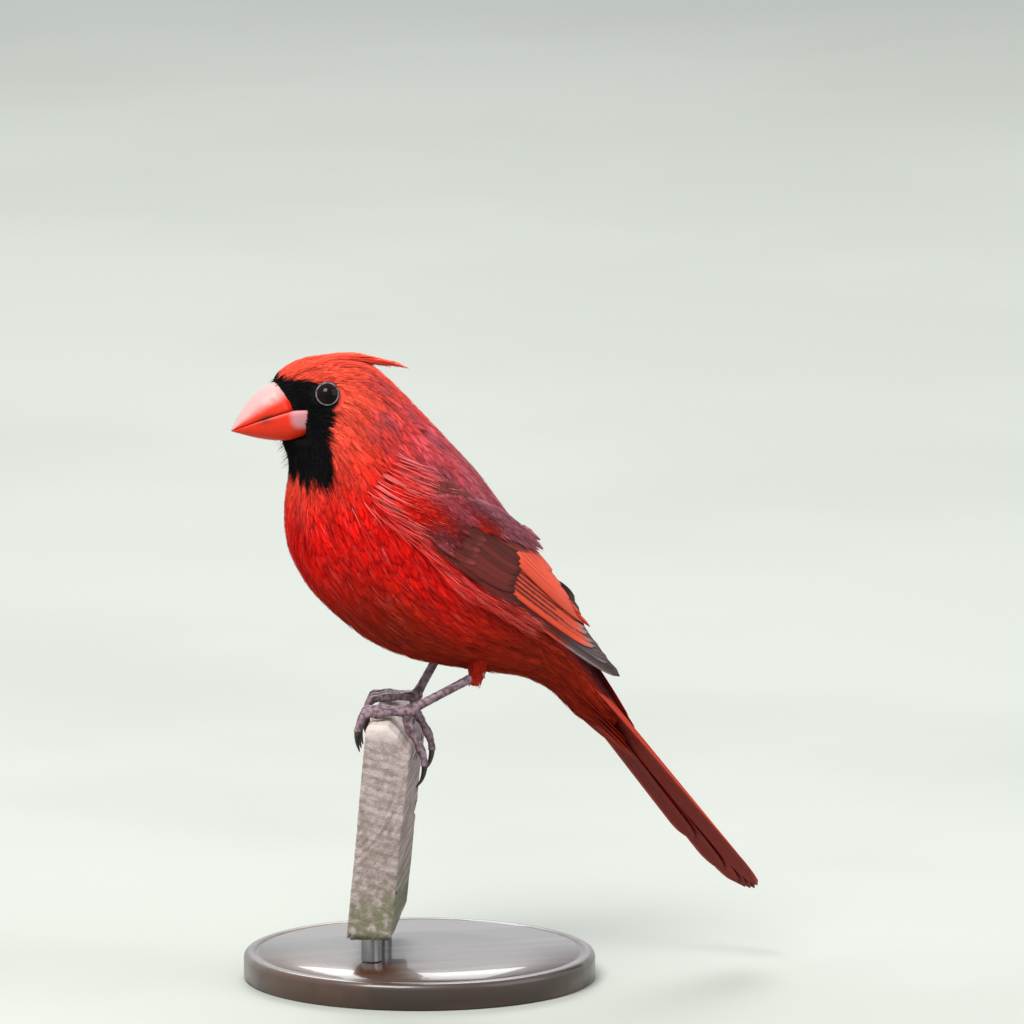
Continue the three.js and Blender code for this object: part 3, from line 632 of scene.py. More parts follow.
@dataclass(frozen=True)
class OldBoard:
    """Weathered softwood: grey grain lines along the board, checks darkened with painted shade, and green low
    down.
    """

    name: str = "old_board"

    def build(self) -> bpy.types.Material:
        """The finished material.

        Returns:
            The material.
        """
        n = Finish(self.name)
        where = n.add("TexCoord", {}).outputs["Object"]
        heading = (0.0, 0.0, math.radians(Board.heading))
        turned = n.add("Mapping", {"Vector": where, "Rotation": heading}).outputs[0]
        moved = {"Vector": turned, "Location": (0.045, 0.0, 0.06), "Scale": (1.0, 0.15, 1.0)}
        apart = n.add("Mapping", moved).outputs[0]
        wave = {"Vector": apart, "Scale": 120.0, "Distortion": 3.5, "Detail": 3.0, "Detail Scale": 1.4}
        years = n.add("TexWave", wave, wave_type="RINGS", rings_direction="Y")
        grain = n.noise(420.0, 6.0, vector=turned, stretch=(1.0, 0.05, 1.0))
        fibre = n.noise(1900.0, 3.0, vector=turned, stretch=(1.0, 0.04, 1.0))
        blotch = n.noise(45.0, 4.0, vector=turned)
        height = n.add("SeparateXYZ", {"Vector": where}).outputs["Z"]
        moss = n.times(n.step(n.ragged(height, blotch, 0.04), 0.042, 0.018), n.step(grain, 0.3, 0.6))
        top = n.step(n.sum("ADD", height, n.times(fibre, 0.003)), 0.0765, 0.0800)
        colour = n.mix(n.step(grain, 0.35, 0.65), linear(158, 144, 142), linear(128, 114, 110))
        layers = (
            (n.step(years.outputs[1], 0.45, 0.9), 0.3, linear(102, 84, 76)),
            (n.step(fibre, 0.5, 0.72), 0.45, linear(80, 70, 64)),
            (n.step(blotch, 0.5, 0.72), 0.25, linear(104, 94, 82)),
            (moss, 0.6, linear(80, 92, 50)),
            (top, 0.8, linear(184, 172, 166)),
            # Painted shade: the checks cut into the board are coloured near-black inside.
            (n.step(n.value("crack"), 0.25, 0.8), 1.0, linear(44, 34, 28)),
        )
        for share, most, over in layers:
            colour = n.mix(n.times(share, most), colour, over)
        relief = n.sum("ADD", n.times(grain, 0.7), n.times(fibre, 0.5))
        return n.done(colour, {"Roughness": 0.86, "Specular IOR Level": 0.22}, relief, 0.7, 0.0006)


@dataclass(frozen=True)
class EyeGlass:
    """A wet, very dark brown eye with a black pupil."""

    name: str = "eye_glass"

    def build(self) -> bpy.types.Material:
        """The finished material.

        Returns:
            The material.
        """
        n = Finish(self.name)
        brown = n.mix(n.noise(1400.0), linear(12, 7, 6), linear(26, 15, 11))
        colour = n.mix(n.step(n.value("ring"), 0.42, 0.5), linear(2, 2, 3), brown)
        return n.done(colour, {"Roughness": 0.14, "Specular IOR Level": 0.12})


# The bird's body.
@dataclass
class Body:
    """The body as one skin over stations from the bill to the tail, each a point on the back and one on the
    front, as x and z, and half the width. A ring's point is the front one mixed with the back one by half of
    one plus the cosine of its turn, and lies aside by half the width times the sine."""

    stations: tuple = (
        ((-45.6, 98.4), (-42.8, 84.6), 4.4),
        ((-42.2, 103.2), (-41.0, 80.0), 6.6),
        ((-35.5, 106.4), (-39.6, 75.6), 8.8),
        ((-25.5, 106.9), (-39.1, 71.0), 12.6),
        ((-15.7, 104.3), (-39.7, 66.4), 14.4),
        ((-8.0, 98.0), (-40.3, 61.4), 16.2),
        ((0.1, 89.5), (-40.2, 54.6), 18.8),
        ((9.2, 79.7), (-38.0, 46.2), 21.8),
        ((16.9, 71.3), (-32.4, 36.8), 23.6),
        ((23.0, 63.1), (-24.4, 28.6), 24.4),
        ((29.4, 54.1), (-14.1, 20.5), 24.0),
        ((35.2, 45.8), (-2.3, 15.2), 22.4),
        ((40.0, 37.6), (10.2, 12.2), 19.6),
        ((44.4, 29.4), (21.6, 9.8), 16.0),
        ((48.6, 21.4), (32.0, 7.8), 12.6),
        ((52.8, 13.6), (41.4, 2.8), 9.6),
        ((57.2, 5.4), (49.4, -5.2), 7.6),
        ((62.6, -4.0), (57.6, -9.6), 6.2),
    )
    pinch: tuple = ((0, 0.24), (0.118, 0.38), (0.18, 0.2), (0.28, 0), (1, 0))
    depth: tuple = ((0, 0.35), (0.12, 0.55), (0.25, 0.95), (0.4, 1.35), (0.8, 1.3), (1, 0.7))
    mask_rear: tuple = ((60.0, -29.6), (69.1, -29.8), (72.8, -29.2), (75.8, -31.2), (83.0, -32.2),
                        (87.4, -32.0), (91.5, -30.4), (94.5, -27.8), (98.6, -27.6), (100.2, -33.0),
                        (100.8, -42.0), (101.8, -47.0))
    mask_low: tuple = ((-46.0, 77.5), (-43.2, 76.0), (-40.5, 73.6), (-37.0, 71.8), (-33.5, 72.8),
                       (-30.5, 77.0))

    def point(self, t: np.ndarray, turn: np.ndarray) -> np.ndarray:
        """The body's outer surface.

        Args:
            t: the share of the way from the bill to the tail.
            turn: the angle round the ring, 0 at the back and a right angle on the right side.
        Returns:
            Points.
        """
        line = np.array([(*back, *front, half) for back, front, half in self.stations])
        at = spline(line, t)
        up = (np.cos(turn) / 2 + 0.5)[..., None]
        half = at[..., 4] * (1 - through(self.pinch, t) * (1 - up[..., 0]))
        xz = at[..., 2:4] * (1 - up) + at[..., 0:2] * up
        return np.stack([xz[..., 0], half * np.sin(turn), xz[..., 1]], -1)

    def lie(self, t: np.ndarray, turn: np.ndarray) -> tuple[np.ndarray, np.ndarray, np.ndarray]:
        """The surface's point, outward normal and direction towards the tail, from small steps both ways.

        Args:
            t, turn: places on the body's own map.
        Returns:
            The three, in the places' shape.
        """
        step = 2e-3
        p = self.point(t, turn)
        along = unit(self.point(t + step, turn) - self.point(t - step, turn))
        around = self.point(t, turn + 0.02) - self.point(t, turn - 0.02)
        normal = unit(np.cross(along, around))
        return p, normal, along

    def paces(self, t: np.ndarray, turn: np.ndarray) -> tuple[np.ndarray, np.ndarray]:
        """How many millimetres the surface runs for each unit along and for each unit round.

        Args:
            t, turn: places on the body's own map.
        Returns:
            Millimetres for each unit of t and of turn.
        """
        step = 2e-3
        pace = np.linalg.norm(self.point(t + step, turn) - self.point(t - step, turn), axis=-1) / (2 * step)
        aside = np.linalg.norm(self.point(t, turn + step) - self.point(t, turn - step), axis=-1) / (2 * step)
        return np.maximum(pace, 40.0), np.maximum(aside, 3.0)

    def sunk(self, t: np.ndarray) -> np.ndarray:
        """How far the skin lies below the surface."""
        return through(self.depth, np.clip(t, 0, 1))

    def patch(self, t: np.ndarray, turn: np.ndarray) -> tuple[np.ndarray, np.ndarray]:
        """A place's two shares of the skin's unwrap."""
        return turn / (2 * np.pi), t

    def marks(self, t: np.ndarray, turn: np.ndarray) -> dict[str, np.ndarray]:
        """The plumage's markings at places on the body, painted light and shade among them.

        Args:
            t, turn: the places on the body's own map.
        Returns:
            the black mask and bib, with a painted shadow in the gap under the wings' tips; the orange of the
            head, partly its own colour and partly painted light, reaching further on its top; dusk, the
            rose-grey of the mantle; the browner red of the belly and vent, partly its own colour and partly
            painted shade on the underside; maroon, none.
        """
        p = self.point(t, turn)
        x, z = p[..., 0], p[..., 2]
        up = np.cos(turn) / 2 + 0.5
        rear = np.interp(z, *np.array(self.mask_rear).T, left=-99.0, right=-99.0)
        low = smooth(76.0, 70.0, z)
        wander = 0.5 * value_noise(p, 0.9, 3) + 1.6 * low * value_noise(p * np.array([1, 1, 0.3]), 0.8, 13)
        bound = np.interp(x, *np.array(self.mask_low).T)
        ragged = 1.9 * value_noise(p * np.array([1.0, 1.0, 0.15]), 1.1, 15)
        ink_and_shadow = smooth(-0.7 - low, 0.7 + low, rear + wander - x) * smooth(-1.2, 1.0, z - bound + ragged)
        # Painted shadow: a dark patch on the top of the rump, between the wings' tips and the tail.
        gap = smooth(0.775, 0.82, t) * smooth(0.96, 0.9, t) * smooth(0.6, 0.82, up)
        # The head's orange, partly painted light: it reaches further back on the top, where the light falls.
        head_orange_and_light = 1 - smooth(0.18, 0.38, t + 0.12 * (0.5 - up))
        streaky = 0.07 * value_noise(p, 0.25, 5) + 0.09 * value_noise(p, 0.8, 6)
        dusk = smooth(0.58, 0.84, up + streaky) * smooth(0.2, 0.46, t + streaky)
        dusk = dusk * (1 - 0.45 * smooth(0.74, 0.9, t))
        # The underside's browner red: partly the belly's own colour, partly painted shade under the body.
        under = smooth(0.42, 0.12, up)
        rust_and_shade = np.maximum(smooth(0.46, 0.74, t), under * smooth(0.36, 0.56, t)) * (1 - dusk)
        return {"ink_and_shadow": np.maximum(ink_and_shadow, 0.85 * gap), "head_orange_and_light": head_orange_and_light * (1 - dusk), "dusk": 0.8 * dusk,
                "rust_and_shade": rust_and_shade, "maroon": 0.0 * t}

    def skin(self) -> Cloth:
        """The skin, inside the outer surface by the coat's depth, closed at the bill and at the tail.

        Returns:
            The closed mesh.
        """
        rows, around = 220, 144
        t = np.linspace(0, 1, rows)[:, None] * np.ones(around)
        turn = turns(around)[None] * np.ones((rows, 1))
        p, normal, _ = self.lie(t, turn)
        p = p - normal * self.sunk(t)[..., None]
        p[..., 1] *= 1 - 0.5 * Bill.share(p)
        flat = np.ones_like(t)
        # Painted shade under the coat: the skin takes a dark tone and the feathers' root shade.
        whole = lofted(p, self.marks(t, turn) | {"shade": -0.5 * flat, "along": 0.2 * flat, "wisp": 0 * flat})
        uv = np.stack([turn / (2 * np.pi), t], -1).reshape(-1, 2)
        whole.uvs["OFBake"] = np.vstack([uv, [0.5, 0.0], [0.5, 1.0]])
        return whole.flipped()


@dataclass
class Tuft:
    """The sizes of many small feathers at once, one value for each."""

    length: np.ndarray
    half: np.ndarray
    lift: np.ndarray
    bend: np.ndarray
    shade: np.ndarray
    rows: int
    taper: float
    rise: float = 1.0

    def part(self, chosen: np.ndarray) -> "Tuft":
        """The same sizes for some of the feathers."""
        return Tuft(self.length[chosen], self.half[chosen], self.lift[chosen], self.bend[chosen],
                    self.shade[chosen], self.rows, self.taper, self.rise)


@dataclass
class Coat:
    """The small feathers: slender barbs and broader vanes, each a closed leaf that starts in the skin and
    follows the body towards the tail. A leaf's half width is its widest times the square root of the share
    along it for the first stretch, and falls to its tip by a power of what is left."""

    body: Body
    seed: int = 5
    barbs: int = 28500
    leaves: int = 5000
    piece_limit: int = 190000

    def roots(self, count: int, rng: np.random.Generator) -> tuple[np.ndarray, np.ndarray]:
        """Places for feathers, drawn by area and closer on the face, clear of the eyes, the bill and what the
        wings cover.

        Args:
            count: how many.
            rng: the seeded draws.
        Returns:
            The share along the body and the turn of each.
        """
        t = rng.uniform(0.012, 0.94, count * 12)
        turn = rng.uniform(0, 2 * np.pi, count * 12)
        pace, aside = self.body.paces(t, turn)
        dense = pace * aside * (1 + 2.6 * (1 - smooth(0.14, 0.34, t)))
        p = self.body.point(t, turn)
        eye = np.array(Eye.centre)
        clear = np.ones(len(t), bool)
        for reach in (0.0, 1.4, 2.8):
            there = self.body.point(t + reach / pace, turn)
            clear &= np.linalg.norm((there - eye)[:, [0, 2]], axis=-1) > Eye.clear
        wing = Wing(self.body, LEFT)
        chance = dense * clear * ~Bill.covers(p) * ~wing.hides(p)
        chosen = rng.choice(len(t), count, replace=False, p=chance / chance.sum())
        return t[chosen], turn[chosen]

    @staticmethod
    def leaf(ground: "Body | WingFace", a: np.ndarray, b: np.ndarray, tuft: Tuft, extra: dict) -> Cloth:
        """Closed leaves along a surface.

        Args:
            ground: the body or the wing's face.
            a, b: the roots on its map.
            tuft: the leaves' sizes.
            extra: marks that replace the ground's own, by name.
        Returns:
            The joined leaves.
        """
        pace, aside = ground.paces(a, b)
        u = np.linspace(0, 1, tuft.rows)[None, :]
        aa = a[:, None] + tuft.length[:, None] * u / pace[:, None]
        bb = b[:, None] + tuft.bend[:, None] * u**1.5 / aside[:, None]
        p, normal, along = ground.lie(aa, bb)
        height = -(ground.sunk(aa) + 0.15) * (1 - u**0.75) + tuft.lift[:, None] * u**tuft.rise
        wide = tuft.half[:, None] * narrowed(u, tuft.taper)
        thick = 0.22 * wide + 0.02
        one, two = ground.patch(a, b)
        marks = ground.marks(a, b) | {"wisp": 0.0, "shade": tuft.shade} | extra
        line = p + normal * height[..., None]
        across = unit(np.cross(along, normal))
        return blades(line, across, normal, wide, 0.4 * thick, thick, marks, (one - PATCH / 2, two))

    def layer(self, count: int, slender: bool, rng: np.random.Generator) -> list[Cloth]:
        """One layer of the coat, cut into pieces along the body.

        Args:
            count: how many feathers.
            slender: barbs if true, and broad vanes if not.
            rng: the seeded draws.
        Returns:
            The pieces.
        """
        t, turn = self.roots(count, rng)
        order = np.argsort(t)
        t, turn = t[order], turn[order]
        zero = np.zeros(count)
        clump = value_noise(np.stack([t * 17, turn * 19, zero], -1), 1.0, 21)
        swirl = value_noise(np.stack([t * 9, turn * 7, zero], -1), 1.0, 22)
        size = 2.2 + 5.4 * smooth(0.1, 0.42, t)
        if slender:
            tuft = Tuft(
                length=size * rng.uniform(0.9, 1.6, count),
                half=(0.09 + 0.08 * smooth(0.1, 0.4, t)) * rng.uniform(0.7, 1.3, count),
                lift=rng.uniform(-0.1, 0.3, count) * smooth(0.0, 0.2, t),
                bend=(0.2 * swirl + rng.normal(0, 0.05, count)) * size,
                shade=0.7 * rng.uniform(-1, 1, count) + 0.55 * clump,
                rows=4, taper=0.8,
            )
        else:
            tuft = Tuft(
                length=size * rng.uniform(0.75, 1.1, count),
                half=0.24 * size * rng.uniform(0.75, 1.25, count),
                lift=rng.uniform(-0.6, -0.25, count),
                bend=(0.2 * swirl + rng.normal(0, 0.04, count)) * size,
                shade=0.2 * rng.uniform(-1, 1, count) + 0.5 * clump,
                rows=6, taper=0.45,
            )
        pieces = math.ceil(count * ((tuft.rows - 1) * 8 + 4) / self.piece_limit)
        flecked = (rng.uniform(0, 1, count) > 0.86) * smooth(0.14, 0.28, t) * smooth(0.66, 0.5, t)
        wisp = 0.5 * flecked * rng.uniform(0.3, 1, count) * slender
        return [self.leaf(self.body, t[part], turn[part], tuft.part(part), {"wisp": wisp[part]})
                for part in np.array_split(np.arange(count), pieces)]

    def flank(self, side: int, rng: np.random.Generator) -> Cloth:
        """The long loose feathers in front of the wing and under its lower edge, which lie over it.

        Args:
            side: which side.
            rng: the seeded draws.
        Returns:
            The joined feathers.
        """
        wing = Wing(self.body, side)
        t = rng.uniform(0.25, 0.75, 30000)
        turn = rng.uniform(0.15, np.pi - 0.15, 30000)
        turn = turn if side > 0 else 2 * np.pi - turn
        c, off = wing.chart(self.body.point(t, turn))
        low, _ = wing.edges(c)
        front = (c > -0.12) & (c < 0.05) & (off > -7) & (off < 11)
        under = (c > 0.0) & (c < 0.56) & (off > low - 1.0) & (off < low + 4.5)
        chosen = np.concatenate([
            rng.choice(np.flatnonzero(front), 420, replace=False),
            rng.choice(np.flatnonzero(under), 620, replace=False),
        ])
        t, turn, c, off, low = t[chosen], turn[chosen], c[chosen], off[chosen], low[chosen]
        count = len(t)
        ahead = smooth(0.1, 0.0, c) * smooth(12.0, 8.0, off)
        length = rng.uniform(7.0, 11.5, count)
        tuft = Tuft(
            length=length,
            half=rng.uniform(0.12, 0.24, count),
            lift=rng.uniform(2.4, 4.9, count) * (0.6 + 0.4 * ahead),
            bend=-side * (0.3 * ahead + 0.05 + rng.normal(0, 0.06, count)) * length,
            shade=rng.uniform(-0.6, 1.0, count),
            rows=7, taper=0.7, rise=0.55,
        )
        wisp = rng.uniform(0, 1, count) ** 1.6 * (0.45 + 0.35 * ahead)
        return self.leaf(self.body, t, turn, tuft, {"wisp": wisp, "ink_and_shadow": 0.0})

    def shoulder(self, side: int, rng: np.random.Generator) -> Cloth:
        """The small feathers over the wing's lesser coverts and scapulars.

        Args:
            side: which side.
            rng: the seeded draws.
        Returns:
            The joined feathers.
        """
        wing = Wing(self.body, side)
        face = WingFace(wing)
        c = rng.uniform(-0.07, 0.44, 40000)
        share = rng.uniform(0, 1, 40000)
        front = smooth(-0.2, 0.0, c)
        low, high = wing.edges(c)
        low, high = np.maximum(low - 0.4, 5.6 * front), np.minimum(high + 0.2, -8.4 * front)
        off = high + (low - high) * share
        kept = np.flatnonzero(c < 0.15 + 0.28 * smooth(0.46, 0.14, share))
        parts = []
        for count, slender in ((700, False), (3400, True)):
            pick = rng.choice(kept, count, replace=False)
            a, b = c[pick], off[pick]
            clump = value_noise(np.stack([a * 14, b * 0.8, 0 * a], -1), 1.0, 25)
            size = 4.4 + 3.6 * smooth(0.0, 0.3, a)
            tuft = Tuft(
                length=size * rng.uniform(0.8, 1.25, count),
                half=(0.17 if slender else 1.25) * rng.uniform(0.7, 1.25, count),
                lift=rng.uniform(0.0, 0.3, count) if slender else rng.uniform(-0.25, 0.0, count),
                bend=rng.normal(0, 0.06, count) * size,
                shade=0.5 * rng.uniform(-1, 1, count) + 0.7 * clump,
                rows=4 if slender else 6, taper=0.8 if slender else 0.45,
            )
            parts.append(self.leaf(face, a, b, tuft, {}))
        return joined(parts)

    def bristles(self, rng: np.random.Generator) -> Cloth:
        """Fine black bristles at the chin, which stand out from the skin and curl down.

        Args:
            rng: the seeded draws.
        Returns:
            The joined bristles.
        """
        chin, brow, rows = 70, 90, 5
        count = chin + brow
        t = np.concatenate([rng.uniform(0.03, 0.13, chin), rng.uniform(0.012, 0.04, brow)])
        turn = np.concatenate([np.pi + rng.normal(0, 0.5, chin), rng.uniform(-1.5, 1.5, brow)])
        p, normal, along = self.body.lie(t, turn)
        low = np.arange(count)[:, None] < chin
        lean = np.where(low, np.array([-0.5, 0, -0.35]) + 0.5 * normal, 0.45 * normal - along)
        out = unit(lean + rng.normal(0, 0.2, (count, 3)))
        u = np.linspace(0, 1, rows)[None, :, None]
        length = (rng.uniform(1.2, 3.4, count) * np.where(low[:, 0], 1, 0.8))[:, None, None]
        droop = np.array([0, 0, -0.25])
        line = (p - normal * 0.6)[:, None] + out[:, None] * length * u + droop * length * u**2
        across = unit(np.cross(out, np.array([0.1, 1.0, 0.2])))[:, None]
        above = unit(np.cross(across, out[:, None]))
        wide = np.where(low, 0.06, 0.13) * np.clip(1 - u[..., 0], 0.05, 1) ** 0.7
        marks = PLAIN | {"ink_and_shadow": 1.0}
        return blades(line, across, above, wide, wide, wide, marks, (turn / (2 * np.pi), t))

    def build(self, finish: bpy.types.Material) -> None:
        """Makes the skin and the coat's pieces.

        Args:
            finish: the plumage.
        """
        rng = np.random.default_rng(self.seed)
        make("skin", self.body.skin(), finish, ("head", "neck", "torso", "rump"))
        for i, cloth in enumerate(self.layer(self.leaves, False, rng)):
            make(f"coat_vanes_{i + 1}", cloth, finish)
        for i, cloth in enumerate(self.layer(self.barbs, True, rng)):
            make(f"coat_barbs_{i + 1}", cloth, finish)
        make("chin_bristles", self.bristles(rng), finish)
        for side, word in SIDES.items():
            make(f"flank_wisps_{word}", self.flank(side, rng), finish)
            make(f"shoulder_coat_{word}", self.shoulder(side, rng), finish)


# Long feathers.
@dataclass
class Quill:
    """What a long feather is drawn from: its place as a function of the share along it, the distance across
    and the height; how wide each web is; and how its tip is cut. A web's width rises over the first stretch
    as a root, stays, and closes to the tip as a quarter round."""

    place: object
    outer: float
    inner: float
    tip_from: float = 0.8
    root_share: float = 0.35
    thick: float = 0.34
    camber: float = 0.25
    rows: int = 26
    columns: int = 9
    shade: float = 0.0

    def cloth(self) -> Cloth:
        """The feather as a closed vane with a raised shaft.

        Returns:
            The closed mesh.
        """
        u = np.linspace(0, 1, self.rows)[:, None] ** 0.9
        v = np.linspace(-1, 1, self.columns)[None]
        closing = np.sqrt(np.clip(1 - (np.clip(u - self.tip_from, 0, 1) / (1 - self.tip_from)) ** 2, 0.0, 1))
        opening = self.root_share + (1 - self.root_share) * smooth(0.0, 0.3, u)
        wide = np.maximum(opening * closing, 0.04)
        w = wide * (v * np.where(v > 0, self.outer, self.inner))
        shaft = 0.22 * np.exp(-((v / 0.12) ** 2)) * (1 - u)
        bend = -self.camber * v**2 * wide
        thick = self.thick * (1 - 0.55 * u) * (1 - 0.7 * np.abs(v) ** 3)
        uu = u * np.ones_like(v)
        values = {"web": np.concatenate([v, v[:, ::-1]], 1), "along": u, "shade": self.shade}
        return slab(self.place(uu, w, bend + shaft + thick / 2), self.place(uu, w, bend - thick / 2), values)


class Row(Enum):
    """The wing's rows of feathers, from the longest to the shortest."""

    PRIMARIES = "primaries"
    SECONDARIES = "secondaries"
    TERTIALS = "tertials"
    PRIMARY_COVERTS = "primary_coverts"
    GREATER_COVERTS = "greater_coverts"
    ALULA = "alula"
    MEDIAN_COVERTS = "median_coverts"
    LESSER_COVERTS = "lesser_coverts"
    SCAPULARS = "scapulars"


@dataclass(frozen=True)
class RowPlan:
    """A row of the wing: its finish, how many feathers, and the first and last feather's root and tip on the
    chart, from the lowest to the highest, with each web's width and the height off the wing's face."""

    finish: str
    count: int
    roots: tuple
    tips: tuple
    outer: float
    inner: float
    level: float
    tip_from: float


WING_PLAN = {
    Row.PRIMARIES: RowPlan("primary", 9, ((0.43, 5.2), (0.5, 0.2)), ((1.0, 0.5), (0.8, -4.6)),
                           1.7, 3.0, -0.2, 0.8),
    Row.SECONDARIES: RowPlan("flight", 8, ((0.36, 2.2), (0.38, -6.6)), ((0.88, -1.8), (0.75, -8.2)),
                             2.1, 2.6, 0.25, 0.8),
    Row.TERTIALS: RowPlan("tertial", 5, ((0.34, -6.6), (0.32, -11.0)), ((0.84, -5.4), (0.6, -10.4)),
                          2.6, 1.6, 0.7, 0.5),
    Row.PRIMARY_COVERTS: RowPlan("greater_covert", 5, ((0.24, 6.8), (0.26, 4.2)), ((0.53, 4.4), (0.47, 2.2)),
                                 1.5, 2.0, 0.4, 0.7),
    Row.GREATER_COVERTS: RowPlan("greater_covert", 9, ((0.2, 5.4), (0.24, -9.4)),
                                 ((0.475, 2.4), (0.44, -9.4)), 2.0, 2.6, 0.8, 0.6),
    Row.ALULA: RowPlan("greater_covert", 3, ((0.12, 6.8), (0.12, 5.0)), ((0.37, 6.2), (0.3, 5.4)),
                       1.4, 1.6, 0.6, 0.7),
    Row.MEDIAN_COVERTS: RowPlan("median_covert", 8, ((0.08, 5.0), (0.1, -9.0)), ((0.3, 4.4), (0.28, -9.2)),
                                2.1, 2.4, 1.0, 0.5),
    Row.LESSER_COVERTS: RowPlan("median_covert", 7, ((0.02, 2.6), (0.04, -8.0)), ((0.18, 4.4), (0.17, -8.4)),
                                2.1, 2.2, 1.0, 0.4),
    Row.SCAPULARS: RowPlan("scapular", 7, ((0.08, -6.0), (0.2, -10.4)), ((0.46, -9.0), (0.34, -11.2)),
                           2.2, 1.8, 0.9, 0.4),
}


@dataclass
class Wing:
    """A folded wing on a chart: c runs along its chord from the wrist to the tip, and off is the distance
    from the chord towards the belly. The chart lies on the body's side: its distance from the middle plane
    is the flank's half width times the root of one less the square of the share across."""

    body: Body
    side: int
    wrist: tuple = (-8.7, 68.3)
    tip: tuple = (59.5, 8.2)
    lower: tuple = ((0, 1), (0.1, 9.5), (0.27, 14.4), (0.4, 12.2), (0.6, 7.8), (0.76, 4.9), (0.88, 2.4),
                    (1, 0.4))
    upper: tuple = ((0, -1), (0.1, -8.5), (0.27, -14.4), (0.42, -15.6), (0.62, -13.9), (0.76, -10.2),
                    (0.88, -5.9), (1, -0.4))
    stand: float = 2.0
    at_tip: tuple = (9.4, 0.5, 6.0)
    depth: float = 7.0
    core_end: float = 0.5
    shingle: float = 0.15
    root_depth: float = -1.6
    low_share: float = 0.62
    bow: float = 0.5
    first_station: int = 7
    stations_left: int = 3

    def __post_init__(self) -> None:
        """Works out the chord and the flank's sizes along it from the body's stations."""
        self.start = np.array([self.wrist[0], 0.0, self.wrist[1]])
        span = np.array([self.tip[0], 0.0, self.tip[1]]) - self.start
        self.chord = float(np.linalg.norm(span))
        self.along = span / self.chord
        self.down = np.array([self.along[2], 0.0, -self.along[0]])
        rows = []
        for back, front, half in self.body.stations[self.first_station:-self.stations_left]:
            middle = np.array([(back[0] + front[0]) / 2, 0.0, (back[1] + front[1]) / 2]) - self.start
            wrap = math.hypot(back[0] - front[0], back[1] - front[1]) / 2 + self.stand
            rows.append((middle @ self.along / self.chord, half + self.stand, middle @ self.down, wrap))
        rows.append((1.0, *self.at_tip))
        self.flank = np.array(rows)

    def edges(self, c: np.ndarray) -> tuple[np.ndarray, np.ndarray]:
        """The lower and upper edges of what the small feathers cover, at shares of the chord."""
        inside = np.clip(c, 0, 1)
        return through(self.lower, inside) * self.low_share, through(self.upper, inside)

    def chart(self, p: np.ndarray) -> tuple[np.ndarray, np.ndarray]:
        """Where places lie on the chart, seen from the side."""
        away = p - self.start
        return away @ self.along / self.chord, away @ self.down

    def hides(self, p: np.ndarray) -> np.ndarray:
        """Which places on the body lie well under the folded wing.

        Args:
            p: the places.
        Returns:
            True where the wing lies over them.
        """
        c, off = self.chart(p)
        low, high = self.edges(c)
        return (c > 0.04) & (c < 0.98) & (off > high + 0.8) & (off < low - 0.6)

    def face(self, c: np.ndarray, off: np.ndarray) -> np.ndarray:
        """The wing's face at places on its chart.

        Args:
            c, off: places on the chart.
        Returns:
            Points.
        """
        lateral, midline, wrap = (through(self.flank[:, [0, k]], c) for k in (1, 2, 3))
        bow = np.sqrt(np.maximum(0.03, 1 - ((off - midline) / wrap) ** 2))
        p = self.start + self.along * (c * self.chord)[..., None] + self.down * off[..., None]
        p[..., 1] = self.side * lateral * bow
        return p

    def point(self, c: np.ndarray, off: np.ndarray, height: np.ndarray) -> np.ndarray:
        """Places on the chart, raised off the wing's face along its outward normal.

        Args:
            c, off: places on the chart.
            height: how far off the face.
        Returns:
            Points.
        """
        a = self.face(c + 0.01, off) - self.face(c - 0.01, off)
        b = self.face(c, off + 1) - self.face(c, off - 1)
        normal = unit(np.cross(a, b))
        normal = normal * np.where(normal[..., 1] * self.side > 0, 1, -1)[..., None]
        return self.face(c, off) + normal * height[..., None]

    def quill(self, root: np.ndarray, tip: np.ndarray, plan: RowPlan, shade: float) -> Quill:
        """A feather between two places on the chart, bowed a little towards the belly.

        Args:
            root, tip: its ends on the chart.
            plan: its row.
            shade: how light it is.
        Returns:
            The feather.
        """
        run = np.array([(tip[0] - root[0]) * self.chord, tip[1] - root[1]])
        length = float(np.linalg.norm(run))

        def place(u: np.ndarray, w: np.ndarray, h: np.ndarray) -> np.ndarray:
            """The feather's place on the wing.

            Args:
                u, w, h: the share along it, the distance across and the height.
            Returns:
                Points.
            """
            lean = w + self.bow * np.sin(np.pi * u)
            c = root[0] + (tip[0] - root[0]) * u - lean * run[1] / (length * self.chord)
            off = root[1] + (tip[1] - root[1]) * u + lean * run[0] / length
            rise = self.root_depth + (plan.level - self.root_depth) * smooth(0.0, 0.22, u)
            return self.point(c, off, rise + self.shingle * w + h)

        return Quill(place, plan.outer, plan.inner, plan.tip_from, shade=shade)

    def row(self, plan: RowPlan, rng: np.random.Generator) -> Cloth:
        """A whole row of feathers.

        Args:
            plan: the row.
            rng: the seeded draws.
        Returns:
            The joined feathers.
        """
        parts = []
        for share in np.linspace(0, 1, plan.count):
            root, tip = (np.array(a) * (1 - share) + np.array(b) * share for a, b in (plan.roots, plan.tips))
            tip = tip + rng.uniform(-1, 1, 2) * np.array([0.006, 0.25])
            parts.append(self.quill(root, tip, plan, rng.uniform(-0.8, 0.8)).cloth())
        return joined(parts)

    def core(self) -> Cloth:
        """The arm under the feathers, closed against the flank.

        Returns:
            The closed mesh.
        """
        c = np.linspace(0.01, self.core_end, 40)[:, None]
        v = np.linspace(0, 1, 16)[None]
        low, high = self.edges(c)
        off = low * (1 - v) + high * v
        rim = np.sqrt(np.clip(1 - (2 * v - 1) ** 2, 0, 1)) * np.ones_like(c)
        cc = c * np.ones_like(v)
        outside = self.point(cc, off, -1.3 + 0.7 * rim)
        inside = self.point(cc, off, -2.0 - (self.depth - 2.0) * rim * np.clip(1.4 * (1 - c), 0, 1))
        return slab(outside, inside, {"web": 0.3, "along": 0.3, "shade": -0.5})

